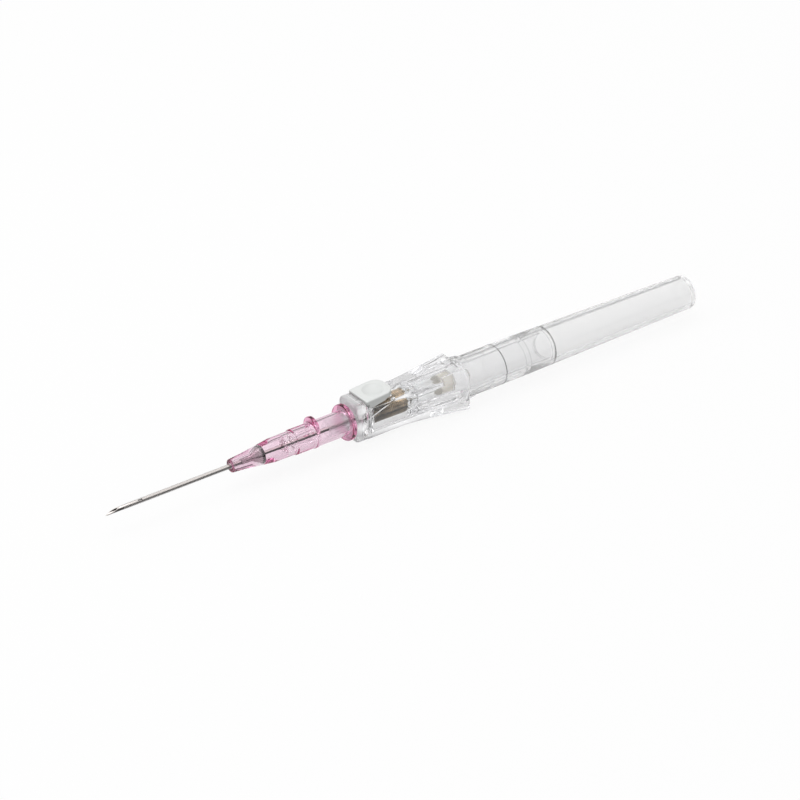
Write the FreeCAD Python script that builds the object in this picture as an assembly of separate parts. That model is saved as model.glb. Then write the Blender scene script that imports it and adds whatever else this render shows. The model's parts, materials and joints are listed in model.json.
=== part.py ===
import FreeCAD
import Part
import math
import os

# Shielded peripheral venous cannula, 20 gauge, needle ready for insertion, push button not yet pressed.
# Millimetres. +X runs back along the device axis, +Z is up through the push button.
# The origin is on the axis, where the catheter tube leaves the front of its hub.

V = FreeCAD.Vector
AXIS = V(1, 0, 0)

# Needle and catheter tube
NEEDLE_D = 0.90
NEEDLE_BORE_D = 0.62
NEEDLE_REACH = 30.1
BEVEL_LENGTH = 3.3
NOTCH_FROM_TIP = 7.6
NOTCH_LENGTH = 1.0
TUBE_D = 1.10
TUBE_REACH = 26.1
TUBE_TAPER = 4.0
TUBE_TIP_WALL = 0.035
NEEDLE_GAP = 0.02
FLARE_WALL = 0.09

# Metal wedge that locks the tube in the hub
WEDGE_WALL = 0.08
WEDGE_START = 2.4
WEDGE_TUBE_LENGTH = 2.2
WEDGE_RIM_X = 7.4
WEDGE_RIM_R = 1.86
WEDGE_RIM_LENGTH = 0.5

# Catheter hub
HUB_NOSE_R = 1.42
HUB_NOSE_REAR_R = 1.66
HUB_NOSE_LENGTH = 3.1
HUB_CONE_END = 10.1
HUB_FRONT_R = 2.53
HUB_STEP_X = 15.0
HUB_STEP_LENGTH = 0.3
HUB_REAR_R = 2.74
HUB_LENGTH = 28.95
FLANGE_R = 3.93
FLANGE_THICKNESS = 1.05
TAB_X = 19.85
TAB_THICKNESS = 0.75
TAB_R = 2.5
TAB_RAISE = 1.6
TAB_RIB_HEIGHT = 0.14
LUER_MOUTH_R = 2.135
LUER_TAPER = 0.03
LUER_DEPTH = 7.5
CHAMBER_R = 1.55
SEAT_GAP = 0.02

# Blood control septum and its actuator
SEPTUM_R = 1.86
SEPTUM_THICKNESS = 1.7
ACTUATOR_LENGTH = 6.2
ACTUATOR_R = 1.45
ACTUATOR_BORE_R = 0.95
ACTUATOR_NOSE_LENGTH = 1.6
ACTUATOR_COLLAR_LENGTH = 0.8
ACTUATOR_GAP = 0.05
ACTUATOR_CLEAR = 2.6

# Grip housing, front to back
HUB_CLEAR = 0.4
SPIGOT_LENGTH = 5.9
SPIGOT_R = 1.95
SPIGOT_TIP_R = 1.80
SPIGOT_HOLLOW_R = 1.35
SPIGOT_HOLLOW_PAST = 0.6
PASSAGE_R = 0.75
NOSE_LENGTH = 3.05
NOSE_HALF_Y = 3.3
NOSE_TOP = 4.55
NOSE_BOTTOM = 4.1
NOSE_CORNER = 0.9
NOSE_FRONT_ROUND = 0.6
RECESS_DEPTH = 0.35
RECESS_FRONT_Z = 0.8
RECESS_REAR_Z = 3.1
RECESS_RUN = 6.5
RECESS_LENGTH = 7.9
WAIST_HALF_Y = 3.3
WAIST_TOP = 3.82
WAIST_BOTTOM = 4.15
WAIST_CORNER = 0.75
MIDDLE_LENGTH = 9.6
FLARE_LENGTH = 14.9
FLARE_HALF_Y = 5.12
FLARE_TOP = 4.35
FLARE_BOTTOM = 5.12
FLARE_CORNER = 1.1
FLARE_POWER = 1.25
FLARE_SHELL = 0.55
POCKET_DEPTH = 6.0
BORE_R = 2.6
SPRING_ROOM_HALF_Y = 2.65
SPRING_ROOM_BOTTOM = 3.3
SPRING_ROOM_CORNER = 1.5
SPRING_ROOM_PAST_HEAD = 0.5
SLEEVE_R = 3.45
SLEEVE_LENGTH = 23.2
SNAP_RIB_PLACES = (10.3, 16.8)
SNAP_RIB_HEIGHT = 0.08
SNAP_RIB_WIDTH = 0.5
TOP_TONGUE_LENGTH = 2.0
BOTTOM_TONGUE_LENGTH = 3.8
TONGUE_THICKNESS = 0.42
TONGUE_HALF_ANGLE = 28.0

# Rear barrel
BARREL_R = 4.44
BARREL_END_R = 3.77
BARREL_STRAIGHT = 13.0
BARREL_LENGTH = 62.6
BARREL_END_WALL = 1.05
BARREL_END_ROUND = 0.9
BARREL_BORE_R = 3.56
BARREL_REAR_WALL = 0.85
BARREL_GAP = 0.1
BARREL_STEP_GAP = 0.6
TONGUE_GAP = 0.06

# Push button with its latch plate
BUTTON_TRAVEL = 1.1
BUTTON_OVERLAP = 0.6
BUTTON_LENGTH = 7.4
BUTTON_HALF_Y = 3.22
BUTTON_REAR_ROUND = 2.5
BUTTON_FRONT_ROUND = 0.4
BUTTON_FRONT_Z = 5.05
BUTTON_REAR_Z = 5.55
BUTTON_UNDER_Z = 4.2
BUTTON_EDGE = 0.28
BUTTON_CLEAR = 0.12
DISH_FROM_FRONT = 3.8
DISH_R = 2.3
DISH_DEPTH = 0.4
SADDLE_Z = 2.98
SKIRT_THICKNESS = 0.2
SKIRT_DEPTH = 0.9
SKIRT_GAP = 0.06
LATCH_GAP = 0.07
LATCH_THICKNESS = 0.8
LATCH_HALF_Y = 2.3
LATCH_FOOT_Z = -1.9

# Needle carriage: knob, neck, stem, head and flash chamber
KNOB_R = 1.3
KNOB_LENGTH = 0.9
KNOB_GAP = 0.1
NECK_R = 0.8
NECK_GAP = 0.1
STEM_R = 1.6
HEAD_R = 2.5
HEAD_LENGTH = 1.3
CHAMBER_OUTER_R = 2.25
CHAMBER_REAR_R = 2.0
CHAMBER_STEP = 2.9
FLASH_LENGTH = 10.39
FLASH_BORE_R = 1.35
FLASH_FRONT_GAP = 1.0
PLUG_LENGTH = 3.0
PLUG_CHAMFER = 0.25
NEEDLE_TAIL = 2.4
ADHESIVE_LENGTH = 0.9
STOP_GAP = 0.2

# Retraction spring, held compressed
WIRE_D = 0.36
SPRING_R = 2.35
SPRING_TURNS = 19
SPRING_SPACE = 9.4
SPRING_SEAT_WALL = 0.5
SPRING_END_GAP = 0.05
WEB_GAP = 0.1

# How far cutting shapes reach past the part
BEYOND = 9.0

# Places worked out from the sizes above
TUBE_BORE_R = NEEDLE_D / 2 + NEEDLE_GAP
NOSE_X = HUB_LENGTH + HUB_CLEAR
SPIGOT_X = NOSE_X - SPIGOT_LENGTH
SEPTUM_X = SPIGOT_X - ACTUATOR_CLEAR - ACTUATOR_LENGTH - ACTUATOR_GAP - SEPTUM_THICKNESS
MIDDLE_START = NOSE_X + NOSE_LENGTH
RECESS_INNER_Y = NOSE_HALF_Y - RECESS_DEPTH
LATCH_X = MIDDLE_START + LATCH_GAP * 2
LATCH_END = LATCH_X + LATCH_THICKNESS
KNOB_END = LATCH_X - LATCH_GAP
KNOB_START = KNOB_END - KNOB_LENGTH
BORE_START = LATCH_END + LATCH_GAP + SPRING_SEAT_WALL
HEAD_X = BORE_START + SPRING_SPACE
HEAD_END = HEAD_X + HEAD_LENGTH
CARRIAGE_REAR_X = HEAD_END + FLASH_LENGTH
FLARE_START = MIDDLE_START + MIDDLE_LENGTH
FLARE_END = FLARE_START + FLARE_LENGTH
SLEEVE_END = FLARE_END + SLEEVE_LENGTH
BARREL_START = FLARE_END + BARREL_GAP
BARREL_STEP_X = SLEEVE_END + BARREL_STEP_GAP
BARREL_END_X = BARREL_START + BARREL_LENGTH
BUTTON_FRONT_X = MIDDLE_START - BUTTON_OVERLAP
DISH_CENTRE_X = BUTTON_FRONT_X + DISH_FROM_FRONT
CARRIAGE_TRAVEL = BARREL_END_X - BARREL_END_WALL - STOP_GAP - CARRIAGE_REAR_X


def rod(x0, x1, r):
    return Part.makeCylinder(r, x1 - x0, V(x0, 0, 0), AXIS)


def turned(points):
    """Solid turned about the device axis from a closed list of (x, radius) points."""
    corners = [V(x, 0, r) for x, r in points]
    wire = Part.makePolygon(corners + [corners[0]])
    return Part.Face(wire).revolve(V(0, 0, 0), AXIS, 360)


def box(x0, x1, y0, y1, z0, z1):
    return Part.makeBox(x1 - x0, y1 - y0, z1 - z0, V(x0, y0, z0))


def rounded_section(x, half_y, bottom, top, corner):
    """Rounded rectangle wire across the axis at x."""
    arc = math.sqrt(0.5)
    wire_edges = []
    centres = (
        (half_y - corner, top - corner, 1, 1),
        (-half_y + corner, top - corner, -1, 1),
        (-half_y + corner, -bottom + corner, -1, -1),
        (half_y - corner, -bottom + corner, 1, -1),
    )
    ends = []
    for cy, cz, sy, sz in centres:
        side = V(x, cy + sy * corner, cz)
        flat = V(x, cy, cz + sz * corner)
        middle = V(x, cy + sy * corner * arc, cz + sz * corner * arc)
        first, last = (side, flat) if sy * sz > 0 else (flat, side)
        ends.append((first, middle, last))
    for index, (first, middle, last) in enumerate(ends):
        wire_edges.append(Part.Arc(first, middle, last).toShape())
        following = ends[(index + 1) % 4][0]
        wire_edges.append(Part.LineSegment(last, following).toShape())
    return Part.Wire(wire_edges)


def prism(x0, x1, half_y, bottom, top, corner):
    face = Part.Face(rounded_section(x0, half_y, bottom, top, corner))
    return face.extrude(V(x1 - x0, 0, 0))


def flare_size(x):
    """Half width, bottom, top and corner of the grip's outside between the waist and its flared rear."""
    share = max(0.0, (x - FLARE_START) / (FLARE_END - FLARE_START)) ** FLARE_POWER
    pairs = (
        (WAIST_HALF_Y, FLARE_HALF_Y),
        (WAIST_BOTTOM, FLARE_BOTTOM),
        (WAIST_TOP, FLARE_TOP),
        (WAIST_CORNER, FLARE_CORNER),
    )
    return [a + (b - a) * share for a, b in pairs]


def flare_loft(x0, x1, inset, count):
    wires = []
    for index in range(count + 1):
        x = x0 + (x1 - x0) * index / count
        half_y, bottom, top, corner = flare_size(x)
        wires.append(rounded_section(x, half_y - inset, bottom - inset, top - inset, corner))
    return Part.makeLoft(wires, True, False)


def make_cannula():
    """Steel tube with a slanted bevel, a lancet grind and a side notch, point up front."""
    tip = -NEEDLE_REACH
    rear = HEAD_X + FLASH_FRONT_GAP + NEEDLE_TAIL
    radius = NEEDLE_D / 2
    tube = rod(tip, rear, radius).cut(rod(tip - 1, rear + 1, NEEDLE_BORE_D / 2))
    # The slanted face rises from the point at the bottom to the heel at the top
    reach = 4 * radius
    slope = NEEDLE_D / BEVEL_LENGTH
    corners = [
        V(tip, -reach, -radius),
        V(tip + BEVEL_LENGTH, -reach, radius),
        V(tip + BEVEL_LENGTH, -reach, reach),
        V(tip - 1, -reach, reach),
        V(tip - 1, -reach, -radius - slope),
    ]
    wedge = Part.Face(Part.makePolygon(corners + [corners[0]])).extrude(V(0, 2 * reach, 0))
    tube = tube.cut(wedge)
    # Two side grinds narrow the point in plan
    for side in (-1, 1):
        plan = [
            V(tip - 0.1, side * 0.02, -reach),
            V(tip + BEVEL_LENGTH * 0.4, side * radius, -reach),
            V(tip + BEVEL_LENGTH * 0.4, side * reach, -reach),
            V(tip - 0.1, side * reach, -reach),
        ]
        grind = Part.Face(Part.makePolygon(plan + [plan[0]])).extrude(V(0, 0, 2 * reach))
        tube = tube.cut(grind)
    notch_x = tip + NOTCH_FROM_TIP
    notch = box(notch_x, notch_x + NOTCH_LENGTH, -radius, radius, NEEDLE_BORE_D * 0.38, radius + 0.1)
    return tube.cut(notch)


def make_catheter_tube():
    """Soft tube with a tapered tip, opened out at its rear over the wedge."""
    tip = -TUBE_REACH
    radius = TUBE_D / 2
    flare_r = wedge_outer_r() + SEAT_GAP / 2
    outer_flare = flare_r + FLARE_WALL
    rear = WEDGE_START + WEDGE_TUBE_LENGTH
    ramp = 0.5
    return turned([
        (tip, TUBE_BORE_R),
        (tip, TUBE_BORE_R + TUBE_TIP_WALL),
        (tip + TUBE_TAPER, radius),
        (0, radius),
        (WEDGE_START, outer_flare),
        (rear, outer_flare),
        (rear, flare_r),
        (WEDGE_START - SEAT_GAP, flare_r),
        (WEDGE_START - ramp, TUBE_BORE_R),
    ])


def wedge_outer_r():
    return NEEDLE_D / 2 + NEEDLE_GAP * 2 + WEDGE_WALL


def make_wedge():
    """Thin metal funnel with a rolled rim."""
    inner = NEEDLE_D / 2 + NEEDLE_GAP * 2
    outer = wedge_outer_r()
    rear = WEDGE_START + WEDGE_TUBE_LENGTH
    cone_end = WEDGE_RIM_X - WEDGE_RIM_LENGTH
    return turned([
        (WEDGE_START, inner),
        (WEDGE_START, outer),
        (rear + SEAT_GAP, outer),
        (cone_end, WEDGE_RIM_R),
        (WEDGE_RIM_X, WEDGE_RIM_R),
        (WEDGE_RIM_X, WEDGE_RIM_R - WEDGE_WALL),
        (cone_end, WEDGE_RIM_R - WEDGE_WALL * 1.5),
        (rear + SEAT_GAP + WEDGE_WALL, inner),
    ])


def luer_r(x):
    return LUER_MOUTH_R - LUER_TAPER * (HUB_LENGTH - x)


def make_hub():
    """Catheter hub: slim nose, cone, stepped barrel, push-off tab and luer flange, bored for all it holds."""
    outside = turned([
        (0, 0),
        (0, HUB_NOSE_R - 0.2),
        (0.2, HUB_NOSE_R),
        (HUB_NOSE_LENGTH, HUB_NOSE_REAR_R),
        (HUB_CONE_END, HUB_FRONT_R),
        (HUB_STEP_X, HUB_FRONT_R),
        (HUB_STEP_X + HUB_STEP_LENGTH, HUB_REAR_R),
        (HUB_LENGTH, HUB_REAR_R),
        (HUB_LENGTH, 0),
    ])
    flange = rod(HUB_LENGTH - FLANGE_THICKNESS, HUB_LENGTH, FLANGE_R)
    flange = flange.makeFillet(FLANGE_THICKNESS * 0.25, flange.Edges[:1] + flange.Edges[2:])
    rib = rod(TAB_X, TAB_X + TAB_THICKNESS, HUB_REAR_R + TAB_RIB_HEIGHT)
    tab = rod(TAB_X, TAB_X + TAB_THICKNESS, TAB_R)
    tab.translate(V(0, 0, TAB_RAISE))
    hub = outside.fuse([flange, rib, tab])
    # Tube seat, wedge cone, fluid chamber, septum seat and luer socket, front to back
    tube_r = TUBE_D / 2 + SEAT_GAP / 2
    seat_r = wedge_outer_r() + FLARE_WALL + SEAT_GAP
    rear = WEDGE_START + WEDGE_TUBE_LENGTH
    cone_end = WEDGE_RIM_X - WEDGE_RIM_LENGTH
    septum_end = SEPTUM_X + SEPTUM_THICKNESS
    luer_floor = HUB_LENGTH - LUER_DEPTH
    cavity = turned([
        (-1, 0),
        (-1, tube_r),
        (0, tube_r),
        (WEDGE_START - SEAT_GAP, seat_r),
        (rear, seat_r),
        (cone_end - SEAT_GAP, WEDGE_RIM_R + SEAT_GAP),
        (WEDGE_RIM_X + SEAT_GAP, WEDGE_RIM_R + SEAT_GAP),
        (WEDGE_RIM_X + SEAT_GAP, WEDGE_RIM_R - WEDGE_WALL),
        (SEPTUM_X - SEAT_GAP, CHAMBER_R),
        (SEPTUM_X - SEAT_GAP, SEPTUM_R + SEAT_GAP),
        (septum_end + SEAT_GAP, SEPTUM_R + SEAT_GAP),
        (luer_floor, luer_r(luer_floor)),
        (HUB_LENGTH, LUER_MOUTH_R),
        (HUB_LENGTH + 1, LUER_MOUTH_R),
        (HUB_LENGTH + 1, 0),
    ])
    return hub.cut(cavity).removeSplitter()


def make_septum():
    """Elastic disc with a pierced centre and a shallow dish on its rear face."""
    rear = SEPTUM_X + SEPTUM_THICKNESS
    return turned([
        (SEPTUM_X, TUBE_BORE_R),
        (SEPTUM_X, SEPTUM_R - 0.15),
        (SEPTUM_X + 0.15, SEPTUM_R),
        (rear, SEPTUM_R),
        (rear, SEPTUM_R * 0.75),
        (rear - SEPTUM_THICKNESS * 0.25, SEPTUM_R * 0.55),
        (rear - SEPTUM_THICKNESS * 0.25, TUBE_BORE_R),
    ])


def make_actuator():
    """Hollow plunger behind the septum: cone nose, body and guide collar."""
    front = SEPTUM_X + SEPTUM_THICKNESS + ACTUATOR_GAP
    rear = front + ACTUATOR_LENGTH
    collar_r = luer_r(HUB_LENGTH - LUER_DEPTH) - SEAT_GAP * 2
    nose_end = front + ACTUATOR_NOSE_LENGTH
    collar = rear - ACTUATOR_COLLAR_LENGTH
    return turned([
        (front, ACTUATOR_BORE_R * 0.8),
        (front, ACTUATOR_BORE_R),
        (nose_end, ACTUATOR_R),
        (collar, ACTUATOR_R),
        (collar, collar_r),
        (rear, collar_r),
        (rear, ACTUATOR_BORE_R),
        (nose_end, ACTUATOR_BORE_R * 0.8),
    ])


def make_carriage():
    """Needle carriage: latch knob and neck, stem through the spring, spring head and flash chamber."""
    step_x = HEAD_END + CHAMBER_STEP
    plug_x = CARRIAGE_REAR_X - PLUG_LENGTH
    flash_x = HEAD_X + FLASH_FRONT_GAP
    neck_end = LATCH_END + LATCH_GAP
    return turned([
        (KNOB_START, NEEDLE_D / 2 + NEEDLE_GAP / 2),
        (KNOB_START, KNOB_R - 0.3),
        (KNOB_START + 0.3, KNOB_R),
        (KNOB_END, KNOB_R),
        (KNOB_END, NECK_R),
        (neck_end, NECK_R),
        (neck_end + 0.3, STEM_R),
        (HEAD_X, STEM_R),
        (HEAD_X, HEAD_R),
        (HEAD_END, HEAD_R),
        (HEAD_END, CHAMBER_OUTER_R),
        (step_x, CHAMBER_OUTER_R),
        (step_x + 0.25, CHAMBER_REAR_R),
        (CARRIAGE_REAR_X, CHAMBER_REAR_R),
        (CARRIAGE_REAR_X, FLASH_BORE_R + SEAT_GAP),
        (plug_x, FLASH_BORE_R + SEAT_GAP),
        (plug_x, FLASH_BORE_R - 0.1),
        (flash_x, FLASH_BORE_R - 0.1),
        (flash_x, NEEDLE_D / 2 + NEEDLE_GAP / 2),
    ])


def make_plug():
    """Porous vent plug pressed in the rear of the flash chamber."""
    front = CARRIAGE_REAR_X - PLUG_LENGTH + SEAT_GAP
    return turned([
        (front, 0),
        (front, FLASH_BORE_R - PLUG_CHAMFER),
        (front + PLUG_CHAMFER, FLASH_BORE_R),
        (CARRIAGE_REAR_X - PLUG_CHAMFER, FLASH_BORE_R),
        (CARRIAGE_REAR_X, FLASH_BORE_R - PLUG_CHAMFER),
        (CARRIAGE_REAR_X, 0),
    ])


def make_adhesive():
    """Bead that bonds the cannula at the floor of the flash chamber."""
    front = HEAD_X + FLASH_FRONT_GAP + SEAT_GAP
    inner = NEEDLE_D / 2 + NEEDLE_GAP / 2
    return turned([
        (front, inner),
        (front, FLASH_BORE_R - 0.1 - SEAT_GAP),
        (front + ADHESIVE_LENGTH * 0.3, FLASH_BORE_R - 0.1 - SEAT_GAP),
        (front + ADHESIVE_LENGTH, inner + 0.1),
        (front + ADHESIVE_LENGTH, inner),
    ])


def make_spring():
    """Round wire coil between the seat wall and the carriage head."""
    wire_r = WIRE_D / 2
    mean_r = SPRING_R - wire_r
    start = BORE_START + SPRING_END_GAP + wire_r
    end = HEAD_X - SPRING_END_GAP - wire_r
    pitch = (end - start) / SPRING_TURNS
    helix = Part.makeLongHelix(pitch, end - start, mean_r, 0, False)
    circle = Part.Wire(Part.makeCircle(wire_r, V(mean_r, 0, 0), V(0, 1, 0)))
    coil = Part.Wire(helix.Edges).makePipeShell([circle], True, True)
    coil.rotate(V(0, 0, 0), V(0, 1, 0), 90)
    coil.translate(V(start, 0, 0))
    return coil


def button_outline(grow, z):
    """Plan outline of the button's cap at height z: straight front and sides, rounded rear."""
    x0 = BUTTON_FRONT_X - grow
    x1 = BUTTON_FRONT_X + BUTTON_LENGTH + grow
    half = BUTTON_HALF_Y + grow
    rear = BUTTON_REAR_ROUND + grow
    front = BUTTON_FRONT_ROUND + grow
    arc = 1 - math.sqrt(0.5)
    corners = (
        (V(x1 - rear, half, z), V(x1 - rear * arc, half - rear * arc, z), V(x1, half - rear, z)),
        (V(x1, rear - half, z), V(x1 - rear * arc, rear * arc - half, z), V(x1 - rear, -half, z)),
        (V(x0 + front, -half, z), V(x0 + front * arc, front * arc - half, z), V(x0, front - half, z)),
        (V(x0, half - front, z), V(x0 + front * arc, half - front * arc, z), V(x0 + front, half, z)),
    )
    wire_edges = []
    for index, (first, middle, last) in enumerate(corners):
        wire_edges.append(Part.Arc(first, middle, last).toShape())
        following = corners[(index + 1) % 4][0]
        wire_edges.append(Part.LineSegment(last, following).toShape())
    return Part.Wire(wire_edges)


def make_button():
    """Push button: sloping cap with a thumb dish, side skirts and a latch plate with a keyhole."""
    rear_x = BUTTON_FRONT_X + BUTTON_LENGTH
    cap = Part.Face(button_outline(0, BUTTON_UNDER_Z)).extrude(V(0, 0, BUTTON_REAR_Z - BUTTON_UNDER_Z + 1))
    slope = (BUTTON_REAR_Z - BUTTON_FRONT_Z) / BUTTON_LENGTH
    above = [
        V(BUTTON_FRONT_X - 1, -BEYOND, BUTTON_FRONT_Z - slope),
        V(rear_x + 1, -BEYOND, BUTTON_REAR_Z + slope),
        V(rear_x + 1, -BEYOND, BUTTON_REAR_Z + BEYOND),
        V(BUTTON_FRONT_X - 1, -BEYOND, BUTTON_REAR_Z + BEYOND),
    ]
    trim = Part.Face(Part.makePolygon(above + [above[0]])).extrude(V(0, 2 * BEYOND, 0))
    cap = cap.cut(trim)
    top = max(cap.Faces, key=lambda face: face.CenterOfMass.z)
    cap = cap.makeFillet(BUTTON_EDGE, top.Edges)
    # Thumb dish, part of a large ball
    ball_r = (DISH_R ** 2 + DISH_DEPTH ** 2) / (2 * DISH_DEPTH)
    surface_z = BUTTON_FRONT_Z + slope * (DISH_CENTRE_X - BUTTON_FRONT_X)
    ball = Part.makeSphere(ball_r, V(DISH_CENTRE_X, 0, surface_z - DISH_DEPTH + ball_r))
    ball.rotate(V(DISH_CENTRE_X, 0, surface_z), V(0, 1, 0), -math.degrees(math.atan(slope)))
    cap = cap.cut(ball)
    # Side skirts lie in the housing's side recesses, deep in front and running out to the rear
    inner = RECESS_INNER_Y + SKIRT_GAP
    skirt_front = MIDDLE_START + BUTTON_CLEAR
    side = [
        V(skirt_front, 0, BUTTON_UNDER_Z + BUTTON_EDGE),
        V(skirt_front, 0, BUTTON_UNDER_Z - SKIRT_DEPTH),
        V(skirt_front + 1.0, 0, BUTTON_UNDER_Z - SKIRT_DEPTH),
        V(rear_x - BUTTON_REAR_ROUND, 0, BUTTON_UNDER_Z - SKIRT_DEPTH * 0.25),
        V(rear_x - BUTTON_REAR_ROUND, 0, BUTTON_UNDER_Z + BUTTON_EDGE),
    ]
    skirt_face = Part.Face(Part.makePolygon(side + [side[0]]))
    skirts = []
    for y0 in (inner, -inner - SKIRT_THICKNESS):
        skirt = skirt_face.copy()
        skirt.translate(V(0, y0, 0))
        skirts.append(skirt.extrude(V(0, SKIRT_THICKNESS, 0)))
    # Latch plate: a neck-wide slot at rest, with the knob's round hole one travel above it
    plate = box(LATCH_X, LATCH_END, -LATCH_HALF_Y, LATCH_HALF_Y, LATCH_FOOT_Z, BUTTON_UNDER_Z + BUTTON_EDGE)
    neck_r = NECK_R + NECK_GAP
    knob_r = KNOB_R + KNOB_GAP
    holes = rod(LATCH_X - 1, LATCH_END + 1, neck_r)
    slot = box(LATCH_X - 1, LATCH_END + 1, -neck_r, neck_r, 0, BUTTON_TRAVEL)
    knob_hole = rod(LATCH_X - 1, LATCH_END + 1, knob_r)
    knob_hole.translate(V(0, 0, BUTTON_TRAVEL))
    plate = plate.cut(holes.fuse([slot, knob_hole]))
    return cap.fuse(skirts + [plate]).removeSplitter()


def make_tongue(length, side):
    """Thin curved tab that reaches back over the barrel, thinning to its end."""
    inner = BARREL_R + TONGUE_GAP
    outer = inner + TONGUE_THICKNESS
    profile = [
        V(FLARE_END - 1, 0, inner),
        V(FLARE_END - 1, 0, outer),
        V(FLARE_END + length * 0.4, 0, outer),
        V(FLARE_END + length, 0, inner + TONGUE_THICKNESS * 0.3),
        V(FLARE_END + length, 0, inner),
    ]
    face = Part.Face(Part.makePolygon(profile + [profile[0]]))
    start = -TONGUE_HALF_ANGLE + (0 if side > 0 else 180)
    face.rotate(V(0, 0, 0), AXIS, start)
    return face.revolve(V(0, 0, 0), AXIS, 2 * TONGUE_HALF_ANGLE)


def make_housing():
    """Clear grip: luer spigot, nose block, windowed middle, flared rear and the sleeve inside the barrel."""
    nose = prism(NOSE_X, MIDDLE_START, NOSE_HALF_Y, NOSE_BOTTOM, NOSE_TOP, NOSE_CORNER)
    front_edges = [edge for edge in nose.Edges if edge.BoundBox.XMax < NOSE_X + NOSE_LENGTH / 2]
    nose = nose.makeFillet(NOSE_FRONT_ROUND, front_edges)
    middle = prism(MIDDLE_START, FLARE_START, WAIST_HALF_Y, WAIST_BOTTOM, WAIST_TOP, WAIST_CORNER)
    flare = flare_loft(FLARE_START, FLARE_END, 0, 10)
    spigot = turned([
        (SPIGOT_X, 0),
        (SPIGOT_X, SPIGOT_TIP_R - 0.15),
        (SPIGOT_X + 0.15, SPIGOT_TIP_R),
        (NOSE_X, SPIGOT_R),
        (NOSE_X + 1, SPIGOT_R),
        (NOSE_X + 1, 0),
    ])
    sleeve = rod(FLARE_END - 1, SLEEVE_END, SLEEVE_R)
    ribs = []
    for place in SNAP_RIB_PLACES:
        x = FLARE_END + place
        half = SNAP_RIB_WIDTH / 2
        ribs.append(turned([
            (x - half, SLEEVE_R - 0.3),
            (x - half, SLEEVE_R),
            (x, SLEEVE_R + SNAP_RIB_HEIGHT),
            (x + half, SLEEVE_R),
            (x + half, SLEEVE_R - 0.3),
        ]))
    body = nose.fuse([middle, flare, spigot, sleeve] + ribs)
    body = body.fuse([make_tongue(TOP_TONGUE_LENGTH, 1), make_tongue(BOTTOM_TONGUE_LENGTH, -1)])
    # Side recesses for the skirts, deep in front and running out behind the button
    cuts = []
    outline = [
        V(MIDDLE_START, 0, RECESS_FRONT_Z),
        V(MIDDLE_START + RECESS_RUN, 0, RECESS_REAR_Z),
        V(MIDDLE_START + RECESS_LENGTH, 0, BEYOND),
        V(MIDDLE_START, 0, BEYOND),
    ]
    recess = Part.Face(Part.makePolygon(outline + [outline[0]]))
    for side in (-1, 1):
        face = recess.copy()
        face.translate(V(0, side * RECESS_INNER_Y, 0))
        cuts.append(face.extrude(V(0, side * BEYOND, 0)))
    # Well for the button's cap, slot for its latch plate
    well = Part.Face(button_outline(BUTTON_CLEAR, SADDLE_Z)).extrude(V(0, 0, BEYOND))
    slot = box(
        LATCH_X - LATCH_GAP,
        LATCH_END + LATCH_GAP,
        -LATCH_HALF_Y - LATCH_GAP,
        LATCH_HALF_Y + LATCH_GAP,
        LATCH_FOOT_Z - BUTTON_TRAVEL - BUTTON_CLEAR,
        BEYOND,
    )
    cuts += [well, slot]
    # Hollow spigot, needle passage, knob recess, stem hole in the spring seat, spring room and main bore
    cuts.append(rod(SPIGOT_X - 1, NOSE_X + SPIGOT_HOLLOW_PAST, SPIGOT_HOLLOW_R))
    cuts.append(rod(SPIGOT_X - 1, KNOB_START, PASSAGE_R))
    cuts.append(rod(KNOB_START - KNOB_GAP, LATCH_X, KNOB_R + KNOB_GAP))
    cuts.append(rod(LATCH_END, BORE_START + 1, STEM_R + WEB_GAP))
    cuts.append(prism(BORE_START, HEAD_END + SPRING_ROOM_PAST_HEAD, SPRING_ROOM_HALF_Y, SPRING_ROOM_BOTTOM,
                      BORE_R, SPRING_ROOM_CORNER))
    cuts.append(rod(BORE_START, SLEEVE_END + 1, BORE_R))
    # Corner pockets in the flared rear, outside the round core
    pocket = flare_loft(FLARE_END - POCKET_DEPTH, FLARE_END, FLARE_SHELL, 4)
    tail = prism(FLARE_END, FLARE_END + 1, FLARE_HALF_Y - FLARE_SHELL, FLARE_BOTTOM - FLARE_SHELL,
                 FLARE_TOP - FLARE_SHELL, FLARE_CORNER)
    pocket = pocket.fuse(tail).cut(rod(FLARE_START, FLARE_END + 5, BARREL_R + TONGUE_GAP))
    cuts.append(pocket)
    for cut in cuts:
        body = body.cut(cut)
    return body.removeSplitter()


def make_barrel():
    """Rear barrel: straight mouth over the sleeve, long taper, closed and rounded end."""
    taper_x = BARREL_START + BARREL_STRAIGHT
    outside = turned([
        (BARREL_START, 0),
        (BARREL_START, BARREL_R - 0.12),
        (BARREL_START + 0.12, BARREL_R),
        (taper_x, BARREL_R),
        (BARREL_END_X, BARREL_END_R),
        (BARREL_END_X, 0),
    ])
    rim = max(outside.Edges, key=lambda edge: edge.BoundBox.XMin * 100 + edge.BoundBox.ZLength)
    outside = outside.makeFillet(BARREL_END_ROUND, [rim])
    floor_x = BARREL_END_X - BARREL_END_WALL
    share = (BARREL_STEP_X - taper_x) / (BARREL_END_X - taper_x)
    outer_at_step = BARREL_R + (BARREL_END_R - BARREL_R) * share
    inside = turned([
        (BARREL_START - 1, 0),
        (BARREL_START - 1, BARREL_BORE_R),
        (BARREL_STEP_X, BARREL_BORE_R),
        (BARREL_STEP_X, outer_at_step - BARREL_REAR_WALL - 0.2),
        (floor_x, BARREL_END_R - BARREL_REAR_WALL),
        (floor_x, 0),
    ])
    return outside.cut(inside)


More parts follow.
